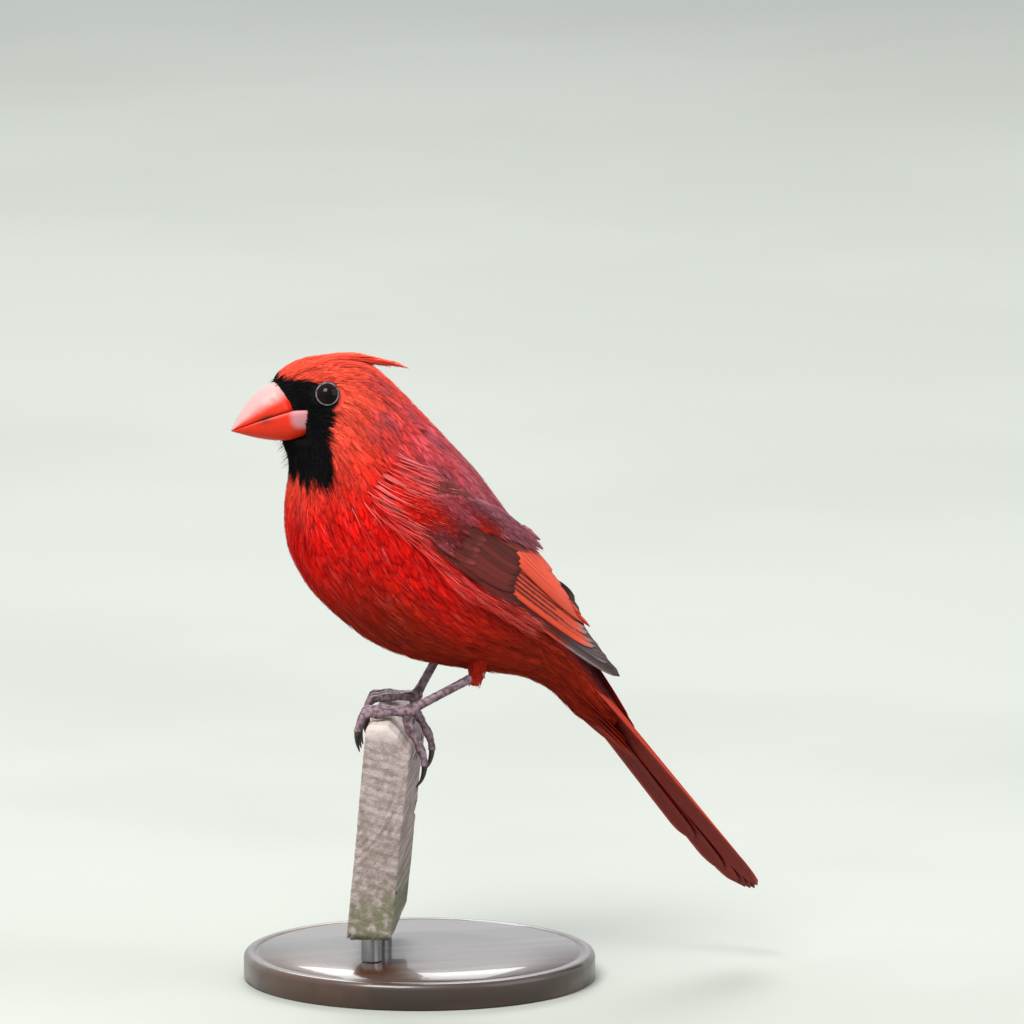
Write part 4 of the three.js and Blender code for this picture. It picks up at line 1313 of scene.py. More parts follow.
    def build(self, finishes: dict[str, bpy.types.Material]) -> None:
        """Makes the wing's rows, and its core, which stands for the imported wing.

        Args:
            finishes: the long feathers' materials by name.
        """
        rng = np.random.default_rng(31)
        word = SIDES[self.side]
        make(f"wing_core_{word}", self.core(), finishes["median_covert"], (f"wing_{word}",))
        for row in Row:
            plan = WING_PLAN[row]
            make(f"wing_{row.value}_{word}", self.row(plan, rng), finishes[plan.finish])


@dataclass
class WingFace:
    """The wing's upper coverts as a surface that small feathers grow on, by the chart's two coordinates."""

    wing: Wing
    level: float = 1.8

    def raised(self, c: np.ndarray, off: np.ndarray) -> np.ndarray:
        """How far the surface lies off the wing's face. Before the wrist and at the back it falls to the
        body's own surface."""
        height = self.level * smooth(-0.1, 0.1, c) + self.wing.stand * smooth(-0.14, 0.0, c)
        return height * smooth(-1.0, 3.0, off - self.wing.edges(c)[1]) - self.wing.stand

    def lie(self, c: np.ndarray, off: np.ndarray) -> tuple[np.ndarray, np.ndarray, np.ndarray]:
        """The surface's point, outward normal and direction towards the wing's tip.

        Args:
            c, off: places on the chart.
        Returns:
            The three, in the places' shape.
        """
        p = self.wing.point(c, off, self.raised(c, off))
        normal = unit(self.wing.point(c, off, self.raised(c, off) + 1.0) - p)
        along = unit(self.wing.point(c + 0.01, off, self.raised(c + 0.01, off)) - p)
        return p, normal, along

    def paces(self, c: np.ndarray, off: np.ndarray) -> tuple[np.ndarray, np.ndarray]:
        """How many millimetres the surface runs for each unit of either coordinate."""
        return self.wing.chord + 0 * c, 1.0 + 0 * off

    def sunk(self, c: np.ndarray) -> np.ndarray:
        """How far the feathers' roots lie below the surface."""
        return 1.0 + 0 * c

    def patch(self, c: np.ndarray, off: np.ndarray) -> tuple[np.ndarray, np.ndarray]:
        """A place's two shares of the skin's unwrap."""
        return (0.25 if self.wing.side > 0 else 0.75) + off * 0.008, 0.35 + 0.4 * c

    def marks(self, c: np.ndarray, off: np.ndarray) -> dict[str, np.ndarray]:
        """The markings over the coverts: rose-grey near the back, brown-red below, with redder patches.

        Args:
            c, off: places on the chart.
        Returns:
            The values by name.
        """
        where = np.stack([c * 9, off * 0.16, 0 * c], -1)
        patchy = value_noise(where, 1.0, 27)
        near_back = smooth(2.0, -9.0, off + 5 * value_noise(where, 1.6, 28))
        maroon = np.clip(0.15 + 0.85 * smooth(-0.04, 0.22, c) - 0.5 * patchy, 0, 0.95)
        # A share of the belly's brown, which is partly painted shade.
        return {"ink_and_shadow": 0 * c, "head_orange_and_light": 0 * c, "rust_and_shade": 0.3 + 0 * c, "maroon": maroon,
                "dusk": np.clip(0.05 + 0.6 * near_back - 0.35 * patchy, 0, 0.8)}


@dataclass
class Tail:
    """Twelve tail feathers in a closed fan, the middle pair on top, and the coverts round their roots."""

    root: tuple = (44.6, 15.1)
    slope: float = 51.0
    twist: float = 15.0
    length: float = 97.0
    half: float = 5.2
    layer: float = 0.5
    root_step: float = 0.35
    tip_step: float = 1.3
    near_shares: tuple = (0.99, 0.985, 0.98, 0.97, 0.96, 0.945)
    far_shares: tuple = (1, 0.995, 0.985, 0.965, 0.905, 0.77)

    def __post_init__(self) -> None:
        """Works out the tail's own axes: along it, across it and up from its back."""
        a, b = math.radians(self.slope), math.radians(self.twist)
        self.along = np.array([math.cos(a), 0.0, -math.sin(a)])
        back = np.array([math.sin(a), 0.0, math.cos(a)])
        across = np.array([0.0, 1.0, 0.0])
        self.back = back * math.cos(b) + across * math.sin(b)
        self.across = across * math.cos(b) - back * math.sin(b)

    def point(self, u: np.ndarray, w: np.ndarray, h: np.ndarray) -> np.ndarray:
        """Places in the tail's own axes.

        Args:
            u, w, h: the share along it, the distance across and the height.
        Returns:
            Points.
        """
        start = np.array([self.root[0], 0.0, self.root[1]])
        return (start + self.along * (self.length * u)[..., None] + self.across * w[..., None]
                + self.back * h[..., None])

    def feathers(self) -> Cloth:
        """The twelve tail feathers.

        Returns:
            The joined feathers.
        """
        rng = np.random.default_rng(8)
        parts = []
        for side, shares in ((LEFT, self.near_shares), (RIGHT, self.far_shares)):
            for k, share in enumerate(shares):
                first, last = side * (0.5 + self.root_step * k), side * (1.2 + self.tip_step * k)
                level = -self.layer * (k + (0.5 if side > 0 else 0.0))

                def place(u: np.ndarray, w: np.ndarray, h: np.ndarray) -> np.ndarray:
                    """The feather's place in the tail.

                    Args:
                        u, w, h: the share along it, the distance across and the height.
                    Returns:
                        Points.
                    """
                    middle = first + (last - first) * u**0.9
                    aside = side * w
                    return self.point(u * share, middle + aside, level + h - 0.012 * w * w)

                quill = Quill(place, self.half, self.half, 0.9, 0.55, 0.4, 0.1, 40, 9, rng.uniform(-0.6, 0.6))
                cloth = quill.cloth()
                parts.append(cloth if side > 0 else cloth.flipped())
        return joined(parts)

    def coverts(self, count: int, shares: tuple, heights: tuple, spread: float, half: float) -> Cloth:
        """A fan of coverts over or under the tail's root.

        Args:
            count: how many.
            shares: where they start and end along the tail.
            heights: how far off its middle plane they lie at each.
            spread: the step from one to the next.
            half: half the width of each.
        Returns:
            The joined coverts.
        """
        rng = np.random.default_rng(count)
        parts = []
        for i in range(count):
            aside = i - (count - 1) / 2
            end = shares[1] - 0.022 * abs(aside) + rng.uniform(-0.01, 0.01)
            level = 0.25 * math.copysign(1, heights[0]) * (i % 2)

            def place(u: np.ndarray, w: np.ndarray, h: np.ndarray) -> np.ndarray:
                """The covert's place in the tail.

                Args:
                    u, w, h: the share along it, the distance across and the height.
                Returns:
                    Points.
                """
                height = heights[0] + (heights[1] - heights[0]) * u
                across = spread * aside * (1 - 0.2 * u) + w
                return self.point(shares[0] + (end - shares[0]) * u, across, height + level + h)

            parts.append(Quill(place, half, half, 0.5, 0.6, 0.4, 0.5, 20, 9, rng.uniform(-0.6, 0.6)).cloth())
        return joined(parts)

    def build(self, finish: bpy.types.Material, covert_finish: bpy.types.Material) -> None:
        """Makes the tail and its coverts.

        Args:
            finish, covert_finish: the materials.
        """
        make("tail_feathers", self.feathers(), finish, ("tail",))
        over = self.coverts(9, (0.05, 0.36), (3.7, 1.5), 1.15, 2.4)
        under = self.coverts(9, (0.08, 0.42), (-7.8, -4.2), 1.2, 2.6)
        make("upper_tail_coverts", over, covert_finish)
        make("under_tail_coverts", under, covert_finish)


@dataclass
class Crest:
    """The crest, laid back along the crown and out over the nape to its point. Its feathers start on the
    crown's line and end between an upper and a lower line, all as x and z."""

    seed: int = 14
    count: int = 320
    crown: tuple = ((-42.0, 102.3), (-35.3, 105.2), (-25.5, 106.5), (-15.7, 103.9))
    upper: tuple = ((-28.0, 107.5), (-22.0, 107.7), (-18.3, 107.3), (-14.6, 106.5), (-10.9, 105.1),
                    (-7.1, 103.5), (-2.6, 101.7))
    lower: tuple = ((-28.0, 106.4), (-20.0, 105.4), (-14.0, 103.0), (-7.0, 102.5), (-2.6, 101.5))

    def build(self, finish: bpy.types.Material) -> None:
        """Makes the crest as slender closed leaves, each bowed up by a half sine.

        Args:
            finish: the plumage.
        """
        rng = np.random.default_rng(self.seed)
        share = rng.uniform(0, 1, self.count) ** 0.75
        draw = rng.uniform(0, 1, self.count)
        aside = rng.uniform(-1, 1, self.count)
        tip_x = -27.0 + 24.6 * share - 2.0 * np.abs(aside)
        low, high = (np.interp(tip_x, *np.array(line).T) for line in (self.lower, self.upper))
        tip_z = low * (1 - draw) + high * draw - 0.9 * (1 - share) * aside**2
        tip = np.stack([tip_x, aside * (4.4 - 3.9 * share), tip_z], -1)
        root_x = np.maximum(tip_x - rng.uniform(8, 15, self.count), -39.5)
        root_z = np.interp(root_x, *np.array(self.crown).T)
        root = np.stack([root_x, tip[:, 1] * 1.15, root_z - 0.05 * tip[:, 1] ** 2 - 0.4], -1)
        u = np.linspace(0, 1, 8)[None]
        line = root[:, None] * (1 - u[..., None]) + tip[:, None] * u[..., None]
        bow = (0.35 + 0.75 * draw) * (0.5 + share)
        line[..., 2] += bow[:, None] * np.sin(np.pi * u**0.8)
        along = unit(np.gradient(line, axis=1))
        across = unit(np.cross(along, np.array([0.0, 0.0, 1.0])))
        wide = rng.uniform(0.3, 0.75, self.count)[:, None] * narrowed(u, 0.6, 4.0, 0.3)
        # The crest takes the head's orange, which is partly painted light.
        marks = PLAIN | {"head_orange_and_light": 0.8, "shade": 2 * draw - 1.1}
        place = (0.5 + 0.02 * aside, 0.1 + 0.2 * share)
        normal = np.cross(across, along)
        crest = blades(line, across, normal, wide, 0.12 * wide, 0.3 * wide + 0.03, marks, place)
        make("crest", crest, finish)


# The head's hard parts.
@dataclass
class Eye:
    """An eyeball and the thin ring of its lids, which lies where the ball leaves the head."""

    body: Body
    side: int
    centre = (-30.5, 8.3, 96.7)
    radius = 3.8
    clear = 3.95
    lid_thick = 0.26

    def opening(self) -> tuple[np.ndarray, np.ndarray, float]:
        """Where the lids lie.

        Returns:
            The ring's middle, its axis and its radius.
        """
        middle = np.array(self.centre) * np.array([1, self.side, 1])
        t, turn = np.meshgrid(np.linspace(0.03, 0.3, 200), np.linspace(0.2, np.pi - 0.2, 200), indexing="ij")
        turn = turn if self.side > 0 else 2 * np.pi - turn
        p, normal, _ = self.body.lie(t, turn)
        near = np.unravel_index(np.argmin(np.linalg.norm((p - middle)[..., [0, 2]], axis=-1)), t.shape)
        axis = unit(0.8 * normal[near] + 0.2 * np.array([0.0, self.side, 0.0]))
        out = min(float((p[near] - middle) @ axis) + 0.3, self.radius - 0.6)
        return middle + axis * out, axis, math.sqrt(self.radius**2 - out**2)

    def build(self, glass: bpy.types.Material, lid: bpy.types.Material) -> None:
        """Makes both. The ball is a sphere by its angles, the ring a torus whose tube swells and thins.

        Args:
            glass, lid: the materials.
        """
        word = SIDES[self.side]
        polar = np.linspace(1e-3, np.pi - 1e-3, 40)[:, None]
        turn = turns(56)[None]
        middle = np.array(self.centre) * np.array([1, self.side, 1])
        ball = np.stack([np.sin(polar) * np.cos(turn), self.side * np.cos(polar) * np.ones_like(turn),
                         np.sin(polar) * np.sin(turn)], -1) * self.radius
        ring = np.sin(polar) * np.ones_like(turn) + 1.0 * (polar > np.pi / 2)
        globe = lofted(middle + ball, {"ring": ring})
        globe = globe if self.side < 0 else globe.flipped()
        make(f"eyeball_{word}", globe, glass, (f"eye_{word}",))
        rim, axis, radius = self.opening()
        right = unit(np.cross(np.array([0.0, 0.0, 1.0]), axis))
        up = np.cross(axis, right)
        LOG.info("lids %s: radius %.2f, middle %s", word, radius, np.round(rim, 2))
        rows, around = 96, 14
        a, b = turns(rows)[:, None], turns(around)[None]
        tube = self.lid_thick * (1 + 0.2 * np.sin(a) + 0.08 * np.sin(24 * a))
        reach = (radius + 0.1 + tube * np.cos(b))[..., None]
        p = (rim + reach * (right * np.cos(a)[..., None] + up * np.sin(a)[..., None])
             + axis * (0.9 * tube * np.sin(b))[..., None])
        faces = grid_faces(rows + 1, around, True)[:, ::-1] % (rows * around)
        make(f"lids_{word}", Cloth(p.reshape(-1, 3), faces), lid)


@dataclass
class Bill:
    """The bill's two halves, each lofted between its ridge and the line of the mouth by half-round sections
    whose height is the sine of the turn and whose width is its cosine."""

    wide: float = 7.6
    mouth: tuple = ((-36.4, 92.4), (-41.4, 92.1), (-46.0, 90.8), (-50.2, 89.3), (-54.2, 87.6), (-57.4, 86.1))
    culmen: tuple = ((-40.4, 101.6), (-45.6, 99.2), (-50.0, 96.2), (-53.4, 92.4), (-55.8, 89.0),
                     (-57.6, 86.3))
    gonys: tuple = ((-34.4, 84.2), (-39.6, 82.7), (-44.0, 82.6), (-49.0, 83.4), (-53.4, 84.6), (-57.2, 85.8))
    base: tuple = ((83.0, -35.4), (87.6, -37.0), (91.3, -41.0), (95.0, -41.2), (97.0, -44.9), (101.5, -45.0))
    half_shares: tuple = (1.0, 0.98, 0.84, 0.62, 0.36, 0.05)
    nostril: tuple = (-46.6, 5.1, 95.2)

    @classmethod
    def share(cls, p: np.ndarray) -> np.ndarray:
        """How far places lie under the bill's base: in front of a line that leans from the forehead's
        feathers to the chin, and above the chin.

        Args:
            p: the places.
        Returns:
            0 for bare skin to 1 well under the bill.
        """
        height = p[..., 2]
        line = np.interp(height, *np.array(cls.base).T)
        return smooth(-0.6, 1.2, line - p[..., 0]) * smooth(82.4, 83.8, height) * smooth(101.8, 100.8, height)

    @classmethod
    def covers(cls, p: np.ndarray) -> np.ndarray:
        """Which places lie under the bill's base."""
        return cls.share(p) > 0.5

    def half(self, ridge: tuple, gap: float, upper: bool) -> Cloth:
        """One half of the bill.

        Args:
            ridge: the points of its ridge.
            gap: how far its edge lies off the line of the mouth.
            upper: whether it is the upper half.
        Returns:
            The closed mesh.
        """
        steps = 28
        s = np.linspace(0, 1, 60)[:, None]
        turn = np.linspace(0, np.pi, steps + 1)[None]
        mouth = [(x, share * self.wide, z + gap) for (x, z), share in zip(self.mouth, self.half_shares)]
        rim = spline(np.array(mouth), s)
        top = spline(np.array([(x, 0.0, z) for x, z in ridge]), s)
        up = np.sin(turn) ** 0.9
        wave = (1 + 0.012 * np.sin(34 * s) * up) * (1 - (0.45 if upper else 0.0) * smooth(0.26, 0.06, s))
        level = np.cos(turn)
        full = np.sign(level) * np.abs(level) ** ((0.85 if upper else 0.6) * (1 - s) + s)
        edge = rim * (1 - up[..., None]) + top * up[..., None]
        edge[..., 1] = rim[..., 1] * full * wave
        if upper:
            for side in (LEFT, RIGHT):
                hole = np.array(self.nostril) * np.array([1, side, 1])
                near = np.linalg.norm((edge - hole) * np.array([0.8, 0.7, 1.2]), axis=-1)
                edge[..., 1] -= side * 0.6 * np.exp(-((near / 0.6) ** 2))
        seam = (rim * 0.94 + top * 0.06) * np.array([1.0, 0.0, 1.0])
        tip = smooth(0.86, 1.0, s)
        aside = np.minimum(turn, np.pi - turn)
        high, shown, beside = (np.append(v, 0.0)[None] for v in (up, 0 * up + 1, aside))
        worn = np.exp(-(((s - 0.52) / 0.1) ** 2)) * np.exp(-((beside / 0.16) ** 2)) * shown
        if upper:
            # Painted highlight: paler towards the ridge, and paler also at the tip.
            values = {"pale": high * 1.15 - 0.1 + 0.3 * tip, "lilac": 0 * worn - 1, "worn": worn}
        else:
            lilac = smooth(0.38, 0.05, s) * smooth(0.95, 0.35, high) * shown
            pale = 0.35 * (1 - high) * (1 - s * 0.6) + 0.2 * tip - 0.1
            values = {"pale": pale, "lilac": lilac, "worn": worn}
        whole = lofted(np.concatenate([edge, seam], 1), values)
        return whole if upper else whole.flipped()

    def build(self, finish: bpy.types.Material) -> None:
        """Makes both halves."""
        make("upper_mandible", self.half(self.culmen, 0.15, True), finish, ("bill_upper",))
        make("lower_mandible", self.half(self.gonys, -0.15, False), finish, ("bill_lower",))


# Legs, board and stand.
def tube(path: np.ndarray, radius: np.ndarray, around: int, ripple: np.ndarray | None = None) -> Cloth:
    """A limb with round ends along a path: circles in the plane across it, each turned as little as can be
    from the last, by taking a fixed side direction and removing its part along the path.

    Args:
        path: the points of its middle line.
        radius: its radius at each.
        around: how many points round it.
        ripple: what is added to the radius at each point of the grid.
    Returns:
        The closed mesh.
    """
    along = unit(np.gradient(path, axis=0))
    across = unit(ASIDE - along * (along @ ASIDE)[:, None])
    up = np.cross(along, across)
    turn = turns(around)
    reach = radius[:, None] + (0 if ripple is None else ripple)
    return lofted(path[:, None] + across[:, None] * (reach * np.cos(turn))[..., None]
                  + up[:, None] * (reach * np.sin(turn))[..., None])


@dataclass
class Board:
    """A cut length of old board with one worn, slanting top edge."""

    top = -0.9
    heading = 22.5
    inner = -13.6
    outer = -0.4
    top_edge = -7.0
    bevel = 8.5
    height = 65.0
    lean = 0.09
    near = -22.0
    far = 34.0

    @classmethod
    def point(cls, q: np.ndarray, p: np.ndarray, z: np.ndarray) -> np.ndarray:
        """Places across the board, along it and above its top."""
        c, s = math.cos(math.radians(cls.heading)), math.sin(math.radians(cls.heading))
        return np.stack([q * c + p * s, p * c - q * s, cls.top + z], -1)

    def outline(self) -> np.ndarray:
        """The cross-section, with its corners rounded by averaging fine steps along its sides.

        Returns:
            Its points across and above the top, in order.
        """
        drop = self.lean * self.height
        corners = np.array([
            (self.inner - drop, -self.height), (self.outer - drop, -self.height), (self.outer, -self.bevel),
            (self.top_edge, 0.0), (self.inner + 1.2, 0.0), (self.inner, -1.2),
        ])
        following = np.roll(corners, -1, axis=0)
        sides = []
        for a, b in zip(corners, following):
            steps = max(2, int(np.linalg.norm(b - a) / 0.6))
            sides.append(a + (b - a) * np.arange(steps)[:, None] / steps)
        line = np.vstack(sides)
        for _ in range(2):
            line = (np.roll(line, 1, 0) + 2 * line + np.roll(line, -1, 0)) / 4
        return line

    def build(self, finish: bpy.types.Material) -> None:
        """Makes the board, its faces roughened along the grain and checks cut into its sides, and its ends
        rippled in rings.

        Args:
            finish: the old wood.
        """
        line = self.outline()
        rows, rings = 110, 16
        p = np.linspace(self.near, self.far, rows)[:, None] * np.ones(len(line))
        outward = unit(line - np.array([(self.inner + self.outer) / 2 - 3.0, -self.height / 2]))
        q, z = (line[:, k][None] * np.ones((rows, 1)) for k in (0, 1))
        place = np.stack([q, p, z], -1)
        grain = place * np.array([1.6, 0.05, 1.1])
        rough = 0.16 * value_noise(grain, 1.0, 2) + 0.08 * value_noise(grain, 3.1, 4)
        wave = 0.22 * value_noise(place, 0.12, 7)
        crack = np.exp(-((value_noise(place * np.array([0.5, 0.02, 0.5]), 0.7, 9) / 0.035) ** 2))
        crack = crack * smooth(0.1, 0.5, value_noise(place, 0.09, 12))
        depth = rough + wave - 0.7 * crack - 0.25
        q = q + outward[None, :, 0] * depth
        z = z + outward[None, :, 1] * depth
        shrink = np.linspace(1, 0.02, rings)[1:, None]
        ends = []
        for row, side in ((0, -1), (rows - 1, 1)):
            qq, zz = (v[row].mean() + (v[row][None] - v[row].mean()) * shrink for v in (q, z))
            radial = 0.1 * np.sin(np.hypot(qq + 40, zz + 10) * 3.2)
            ends.append(self.point(qq, p[row][None] + side * (0.1 + radial), zz))
        grid = np.concatenate([ends[0][::-1], self.point(q, p, z), ends[1]], 0)
        marks = np.zeros(grid.shape[:2])
        marks[rings - 1:rings - 1 + rows] = crack
        make("old_board", lofted(grid, {"crack": marks}).flipped(), finish, ("perch_board",))


@dataclass
class Leg:
    """A leg from its feathered thigh to its claws."""

    side: int
    ankle: tuple
    knee: tuple
    station: float = 12.8
    palm: tuple = (-1.6, 2.2)
    toe_radius: float = 1.35
    claw_from: float = 0.7
    swings: tuple = (-0.42, 0.0, 0.42)
    hind_swing: float = 0.05
    front: tuple = ((-1.6, 2.2), (-6.6, 2.3), (-11.6, 2.1), (-14.8, 1.3), (-16.2, -2.4), (-16.4, -5.8),
                    (-15.7, -9.0))
    hind: tuple = ((-1.6, 2.2), (-2.3, -0.4), (-1.1, -3.6), (1.0, -7.2), (2.6, -11.0), (3.0, -14.4),
                   (2.2, -18.0), (0.4, -20.6))

    def toe_lines(self, share: np.ndarray) -> list[np.ndarray]:
        """The toes' middle lines over the board, each swung along it by its distance from the palm.

        Args:
            share: the places along each toe.
        Returns:
            The inner, middle, outer and hind toes' points.
        """
        lines = []
        for path, swing in (*((self.front, swing) for swing in self.swings), (self.hind, self.hind_swing)):
            q, z = np.array(path).T
            p = self.side * self.station + self.side * swing * np.abs(q - self.palm[0])
            lines.append(spline(Board.point(q, p, z), share))
        return lines

    def middle(self, above: float) -> np.ndarray:
        """The palm's middle, raised by a distance."""
        return Board.point(*np.array([self.palm[0], self.side * self.station, self.palm[1] + above]))

    def toes(self) -> Cloth:
        """The toes and the palm, with scutes on top and swollen pads under each joint.

        Returns:
            The joined mesh.
        """
        share = np.linspace(0, self.claw_from - 0.004, 84)
        pads = 0.16 * np.sin(20 * share / self.claw_from)
        radius = self.toe_radius * (1 - 0.3 * share) + pads - 0.1 * smooth(0.64, 0.7, share)
        around = 18
        scutes = 0.09 * (np.abs(np.sin(share * 52))[:, None] ** 0.5 - 0.6)
        scutes = scutes + 0.03 * np.sin(turns(around)[None] * 6)
        parts = [tube(line, radius, around, scutes) for line in self.toe_lines(share)]
        polar = np.linspace(0.02, np.pi - 0.02, 24)[:, None]
        turn = turns(24)[None]
        size = 1.95 + 0.08 * np.sin(7 * turn) * np.sin(6 * polar)
        ball = np.stack([np.sin(polar) * np.cos(turn), np.sin(polar) * np.sin(turn),
                         np.cos(polar) * np.ones_like(turn)], -1) * size[..., None]
        parts.append(lofted(self.middle(0.2) + ball).flipped())
        return joined(parts)

    def claws(self) -> Cloth:
        """The four claws, tapered by a power of the share that is left.

        Returns:
            The joined mesh.
        """
        share = np.linspace(self.claw_from - 0.015, 1, 36)
        left = np.clip((1 - share) / (1 - self.claw_from), 0, 1)
        return joined([tube(line, 0.1 + 0.82 * left**0.75, 14) for line in self.toe_lines(share)])

    def shank(self) -> Cloth:
        """The bare leg, with a row of broad scutes down its front.

        Returns:
            The closed mesh.
        """
        palm, ankle, knee = self.middle(0.2), np.array(self.ankle), np.array(self.knee)
        deeper = ankle + 0.22 * (knee - ankle) + np.array([-0.9, 0.0, 0.2])
        share = np.linspace(0, 1, 120)
        line = spline(np.array([palm, (palm + deeper) / 2, deeper]), share)
        radius = 1.28 + 0.5 * (2 * share - 1) ** 4
        saw = (share * 11) % 1
        scutes = (0.13 * (saw**3)[:, None]) * (0.5 + 0.5 * np.cos(turns(20)[None]))
        return tube(line, radius, 20, scutes)

    def thigh_coat(self, rng: np.random.Generator) -> Cloth:
        """The thigh's skin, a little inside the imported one, and its slender feathers down the leg.

        Args:
            rng: the seeded draws.
        Returns:
            The joined mesh.
        """
        ankle, knee = np.array(self.ankle), np.array(self.knee)
        steps, around, count = 40, 32, 1000
        share = np.linspace(0, 1, steps)
        start, end = knee + np.array([-2.8, 0.0, 1.2]), ankle + 0.12 * (self.middle(0.0) - ankle)
        line = spline(np.array([start, start + 0.6 * (end - start), end]), share)
        radius = 4.8 + (1.5 - 4.8) * share**0.75
        skin = tube(line, radius - 0.5, around)
        total = np.arange(len(skin.points))
        # Painted shade under the coat: the thigh's skin takes a dark tone and the feathers' root shade.
        dressed = PLAIN | {"rust_and_shade": 0.8, "shade": -0.5, "along": 0.2}
        skin.values = {k: np.full(len(total), v) for k, v in dressed.items()}
        rising = np.minimum(total // around / steps, 1.0)
        skin.uvs["OFBake"] = np.column_stack([total % around / around, rising])
        at = rng.uniform(0.1, 0.86, count)
        turn = rng.uniform(0, 2 * np.pi, count)
        along = unit(line[-1] - line[0])
        across = unit(ASIDE - along * (along @ ASIDE))
        up = np.cross(along, across)
        u = np.linspace(0, 1, 4)[None]
        length = rng.uniform(1.6, 3.0, count)[:, None]
        span = float(np.linalg.norm(line[-1] - line[0]))
        where = at[:, None] + length * u / span
        axis = spline(line, np.clip(where, 0, 1)) + along * (np.clip(where - 1, 0, None) * span)[..., None]
        reach = np.interp(np.clip(where, 0, 1), share, radius) - 0.55 + 0.75 * u
        a = turn[:, None] + rng.normal(0, 0.12, count)[:, None] * u
        out = across * np.cos(a)[..., None] + up * np.sin(a)[..., None]
        wide = 0.24 * narrowed(u, 0.8) * np.ones((count, 1))
        # The thigh's feathers take the belly's brown, which is partly painted shade.
        marks = PLAIN | {"rust_and_shade": 0.8, "shade": rng.uniform(-1, 0.8, count)}
        return skin.plus(blades(axis + out * reach[..., None], unit(np.cross(along, out)), out, wide,
                                0.05 + 0 * wide, 0.2 * wide + 0.02, marks, (turn / (2 * np.pi), at)))

    def build(self, plumage: bpy.types.Material, skin: bpy.types.Material, horn: bpy.types.Material) -> None:
        """Makes the leg's pieces.

        Args:
            plumage, skin, horn: the materials.
        """
        word = SIDES[self.side]
        rng = np.random.default_rng(40 + self.side)
        make(f"thigh_coat_{word}", self.thigh_coat(rng), plumage, (f"thigh_{word}",))
        make(f"tarsus_{word}", self.shank(), skin, (f"shank_{word}",))
        make(f"toes_{word}", self.toes(), skin, (f"foot_{word}",))
        claws = tuple(f"claw_{name}_{word}" for name in ("inner", "middle", "outer", "hind"))
        make(f"claws_{word}", self.claws(), horn, claws)


@dataclass
class Stand:
    """The round wooden base, turned from a rounded outline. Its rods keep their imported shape."""

    radius: float = 52.0
    thick: float = 8.0
    round_over: float = 1.8
    centre: tuple = (2.0, 5.0)

    def build(self, wood: bpy.types.Material, steel: bpy.types.Material) -> None:
        """Makes the base and dresses the rods.

        Args:
            wood, steel: the materials.
        """
        bottom = -ORIGIN[2]
        r, t, e = self.radius, self.thick, self.round_over
        arc = np.linspace(0, np.pi / 2, 10)
        foot = np.linspace(0, 1, 4)[:, None]
        outline = np.vstack([
            np.array([[0.01, 0.0]]) * (1 - foot) + np.array([[r - 0.6, 0.0]]) * foot,
            np.array([[r, 0.6]]),
            np.column_stack([r - e + e * np.cos(arc), t - e + e * np.sin(arc)]),
            np.array([[r - e - 1.6, t], [r - e - 1.9, t - 0.35], [r - e - 2.6, t - 0.35], [r - e - 2.9, t]]),
            np.array([[r * 0.5, t], [0.01, t]]),
        ])
        turn = turns(160)[None]
        away, rise = outline[:, :1], outline[:, 1:]
        p = np.stack([self.centre[0] + away * np.cos(turn), self.centre[1] + away * np.sin(turn),
                      bottom + rise * np.ones_like(turn)], -1)
        make("round_base", lofted(p), wood, ("stand_base",))
        for name in ("stand_rod_near", "stand_rod_far"):
            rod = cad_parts[name]
            rod.data.materials.clear()
            rod.data.materials.append(steel)


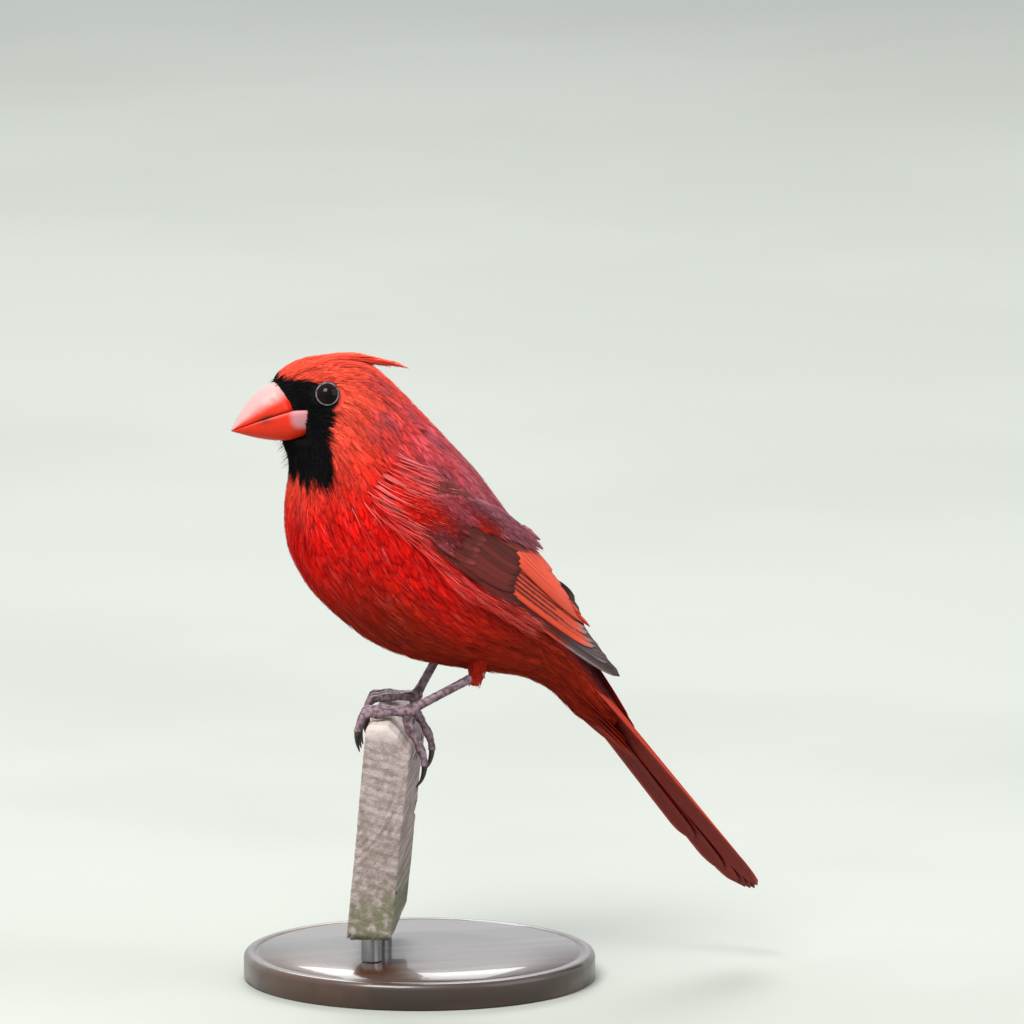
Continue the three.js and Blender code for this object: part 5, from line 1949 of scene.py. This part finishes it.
# The room.
@dataclass
class Studio:
    """A pale floor, soft lights and the camera. The camera stands on a line that is turned and raised from
    the bird's side, and looks at the middle of the photograph's frame."""

    azimuth: float = -18.0
    elevation: float = 10.0
    distance: float = 6000.0
    pixel: float = 0.295
    picture: int = 1024
    zero_at: tuple = (418, 708)
    sensor: float = 36.0

    def axes(self) -> tuple[np.ndarray, np.ndarray, np.ndarray]:
        """The camera's right, up and backward directions.

        Returns:
            Three unit directions.
        """
        a, e = math.radians(self.azimuth), math.radians(self.elevation)
        back = np.array([math.sin(a) * math.cos(e), -math.cos(a) * math.cos(e), math.sin(e)])
        right = np.array([math.cos(a), math.sin(a), 0.0])
        return right, np.cross(back, right), back

    def camera(self) -> None:
        """Sets up the camera."""
        right, up, back = self.axes()
        middle = self.picture / 2
        target = (ORIGIN + right * (middle - self.zero_at[0]) * self.pixel
                  + up * (self.zero_at[1] - middle) * self.pixel)
        place = (target + back * self.distance) * MM
        data = bpy.data.cameras.new("camera")
        data.sensor_width = self.sensor
        data.lens = self.sensor * self.distance / (self.pixel * self.picture)
        data.clip_end = 30.0
        eye = bpy.data.objects.new("camera", data)
        turned = Matrix([Vector(v.tolist()) for v in (right, up, back)]).transposed()
        eye.matrix_world = Matrix.Translation(Vector(place.tolist())) @ turned.to_4x4()
        bpy.context.scene.collection.objects.link(eye)
        bpy.context.scene.camera = eye

    def light(self, name: str, place: tuple, size: float, power: float, colour: tuple) -> None:
        """A square soft light that faces the bird.

        Args:
            name: its name.
            place: where it hangs, in metres.
            size: its side, in metres.
            power: its strength in watts.
            colour: its colour.
        """
        data = bpy.data.lights.new(name, "AREA")
        data.size = size
        data.energy = power
        data.color = colour
        lamp = bpy.data.objects.new(name, data)
        lamp.location = place
        lamp.rotation_euler = (Vector((0.0, 0.0, 0.14)) - Vector(place)).to_track_quat("-Z", "Y").to_euler()
        bpy.context.scene.collection.objects.link(lamp)

    def build(self) -> None:
        """Makes the floor, the lights, the world and the camera."""
        self.camera()
        bpy.context.scene.view_settings.view_transform = "Standard"
        self.light("key", (-0.8, -0.8, 1.6), 0.9, 52.0, (1.0, 0.98, 0.96))
        self.light("fill", (1.3, -1.0, 0.8), 1.4, 12.0, (0.93, 0.97, 1.0))
        self.light("rim", (0.4, 1.4, 1.4), 0.9, 22.0, (1.0, 1.0, 1.0))
        world = bpy.data.worlds.new("studio")
        bpy.context.scene.world = world
        world.use_nodes = True
        sky = world.node_tree.nodes["Background"]
        sky.inputs["Color"].default_value = (0.86, 0.9, 0.92, 1.0)
        sky.inputs["Strength"].default_value = 1.15
        mesh = bpy.data.meshes.new("floor")
        reach = 9.0
        mesh.from_pydata([(-reach, -reach, 0), (reach, -reach, 0), (reach, reach, 0), (-reach, reach, 0)], [],
                         [(0, 1, 2, 3)])
        mesh.materials.append(Blotched("pale_floor", linear(150, 153, 146), linear(147, 150, 143), 3.0,
                                       roughness=0.7, bump=0.02).build())
        floor = bpy.data.objects.new("floor", mesh)
        bpy.context.scene.collection.objects.link(floor)


def vane_finishes() -> dict[str, bpy.types.Material]:
    """The long feathers' materials by their names, each with its hues for the edge, the edge's tip, the web,
    the inner web and the tip, then where the tip and the edge start and end, and how many barbs it has.

    Returns:
        The materials.
    """
    barbs = barb_group()
    coral, edge, covert, dark = Hue.CORAL, Hue.COVERT_EDGE, Hue.COVERT, Hue.DARK_WEB
    webs = {
        "flight": (coral, Hue.PALE_EDGE, Hue.FLIGHT, dark, Hue.DUSKY, 0.84, 0.1, 0.4, 120.0),
        "primary": (coral, Hue.PALE_EDGE, Hue.FLIGHT, dark, Hue.DUSKY, 0.5, 0.45, 0.85, 130.0),
        "tertial": (coral, coral, Hue.TAIL_EDGE, coral, Hue.TAIL_EDGE, 0.86, 0.0, 0.7, 70.0),
        "greater_covert": (edge, dark, covert, covert, dark, 0.86, 0.7, 1.2, 60.0),
        "median_covert": (edge, covert, covert, covert, edge, 0.8, 0.5, 1.2, 60.0),
        "scapular": (edge, Hue.MANTLE, covert, covert, edge, 0.85, 0.3, 1.2, 60.0),
        "tail": (Hue.TAIL_EDGE, Hue.TAIL_EDGE, Hue.TAIL, Hue.TAIL, Hue.TAIL, 0.9, 0.62, 0.95, 160.0),
        # The tail coverts' edges and tips take the belly's brown, which is partly painted shade.
        "tail_covert": (Hue.SHADED_BELLY, Hue.SHADED_BELLY, Hue.TAIL, Hue.TAIL, Hue.SHADED_BELLY, 0.6, 0.0, 0.9, 60.0),
    }
    return {name: VaneFinish(f"{name}_web", *sizes).build(barbs) for name, sizes in webs.items()}


def main() -> None:
    """Builds every piece in order."""
    Studio().build()
    body = Body()
    plumage = Plumage("plumage").build()
    Coat(body).build(plumage)
    Crest().build(plumage)
    finishes = vane_finishes()
    for side in SIDES:
        Wing(body, side).build(finishes)
    Tail().build(finishes["tail"], finishes["tail_covert"])
    Bill().build(Horn().build())
    glass = EyeGlass().build()
    lid = Blotched("eyelid", linear(92, 84, 90), linear(52, 46, 50), 900.0, roughness=0.6, bump=0.4).build()
    for side in SIDES:
        Eye(body, side).build(glass, lid)
    skin = Blotched("leg_skin", linear(116, 92, 101), linear(66, 48, 54), 700.0, roughness=0.5, bump=0.5)
    claw = Blotched("claw_horn", linear(58, 44, 44), linear(28, 20, 22), 500.0, roughness=0.32, bump=0.1)
    leg_finishes = plumage, skin.build(), claw.build()
    Leg(LEFT, (16.4, -12.0, 8.9), (19.4, -10.5, 21.0)).build(*leg_finishes)
    Leg(RIGHT, (10.6, 12.6, 12.2), (18.0, 11.0, 24.0)).build(*leg_finishes)
    Board().build(OldBoard().build())
    wood = Blotched("stand_wood", linear(66, 44, 32), linear(44, 28, 19), 70.0, roughness=0.3, bump=0.06,
                    coat=0.4, stretch=(0.12, 1.0, 1.0))
    steel = Blotched("stand_steel", linear(150, 150, 152), linear(128, 128, 131), 900.0, roughness=0.3,
                     metallic=1.0, stretch=(1.0, 1.0, 0.05))
    Stand().build(wood.build(), steel.build())


if __name__ == "__main__":
    main()
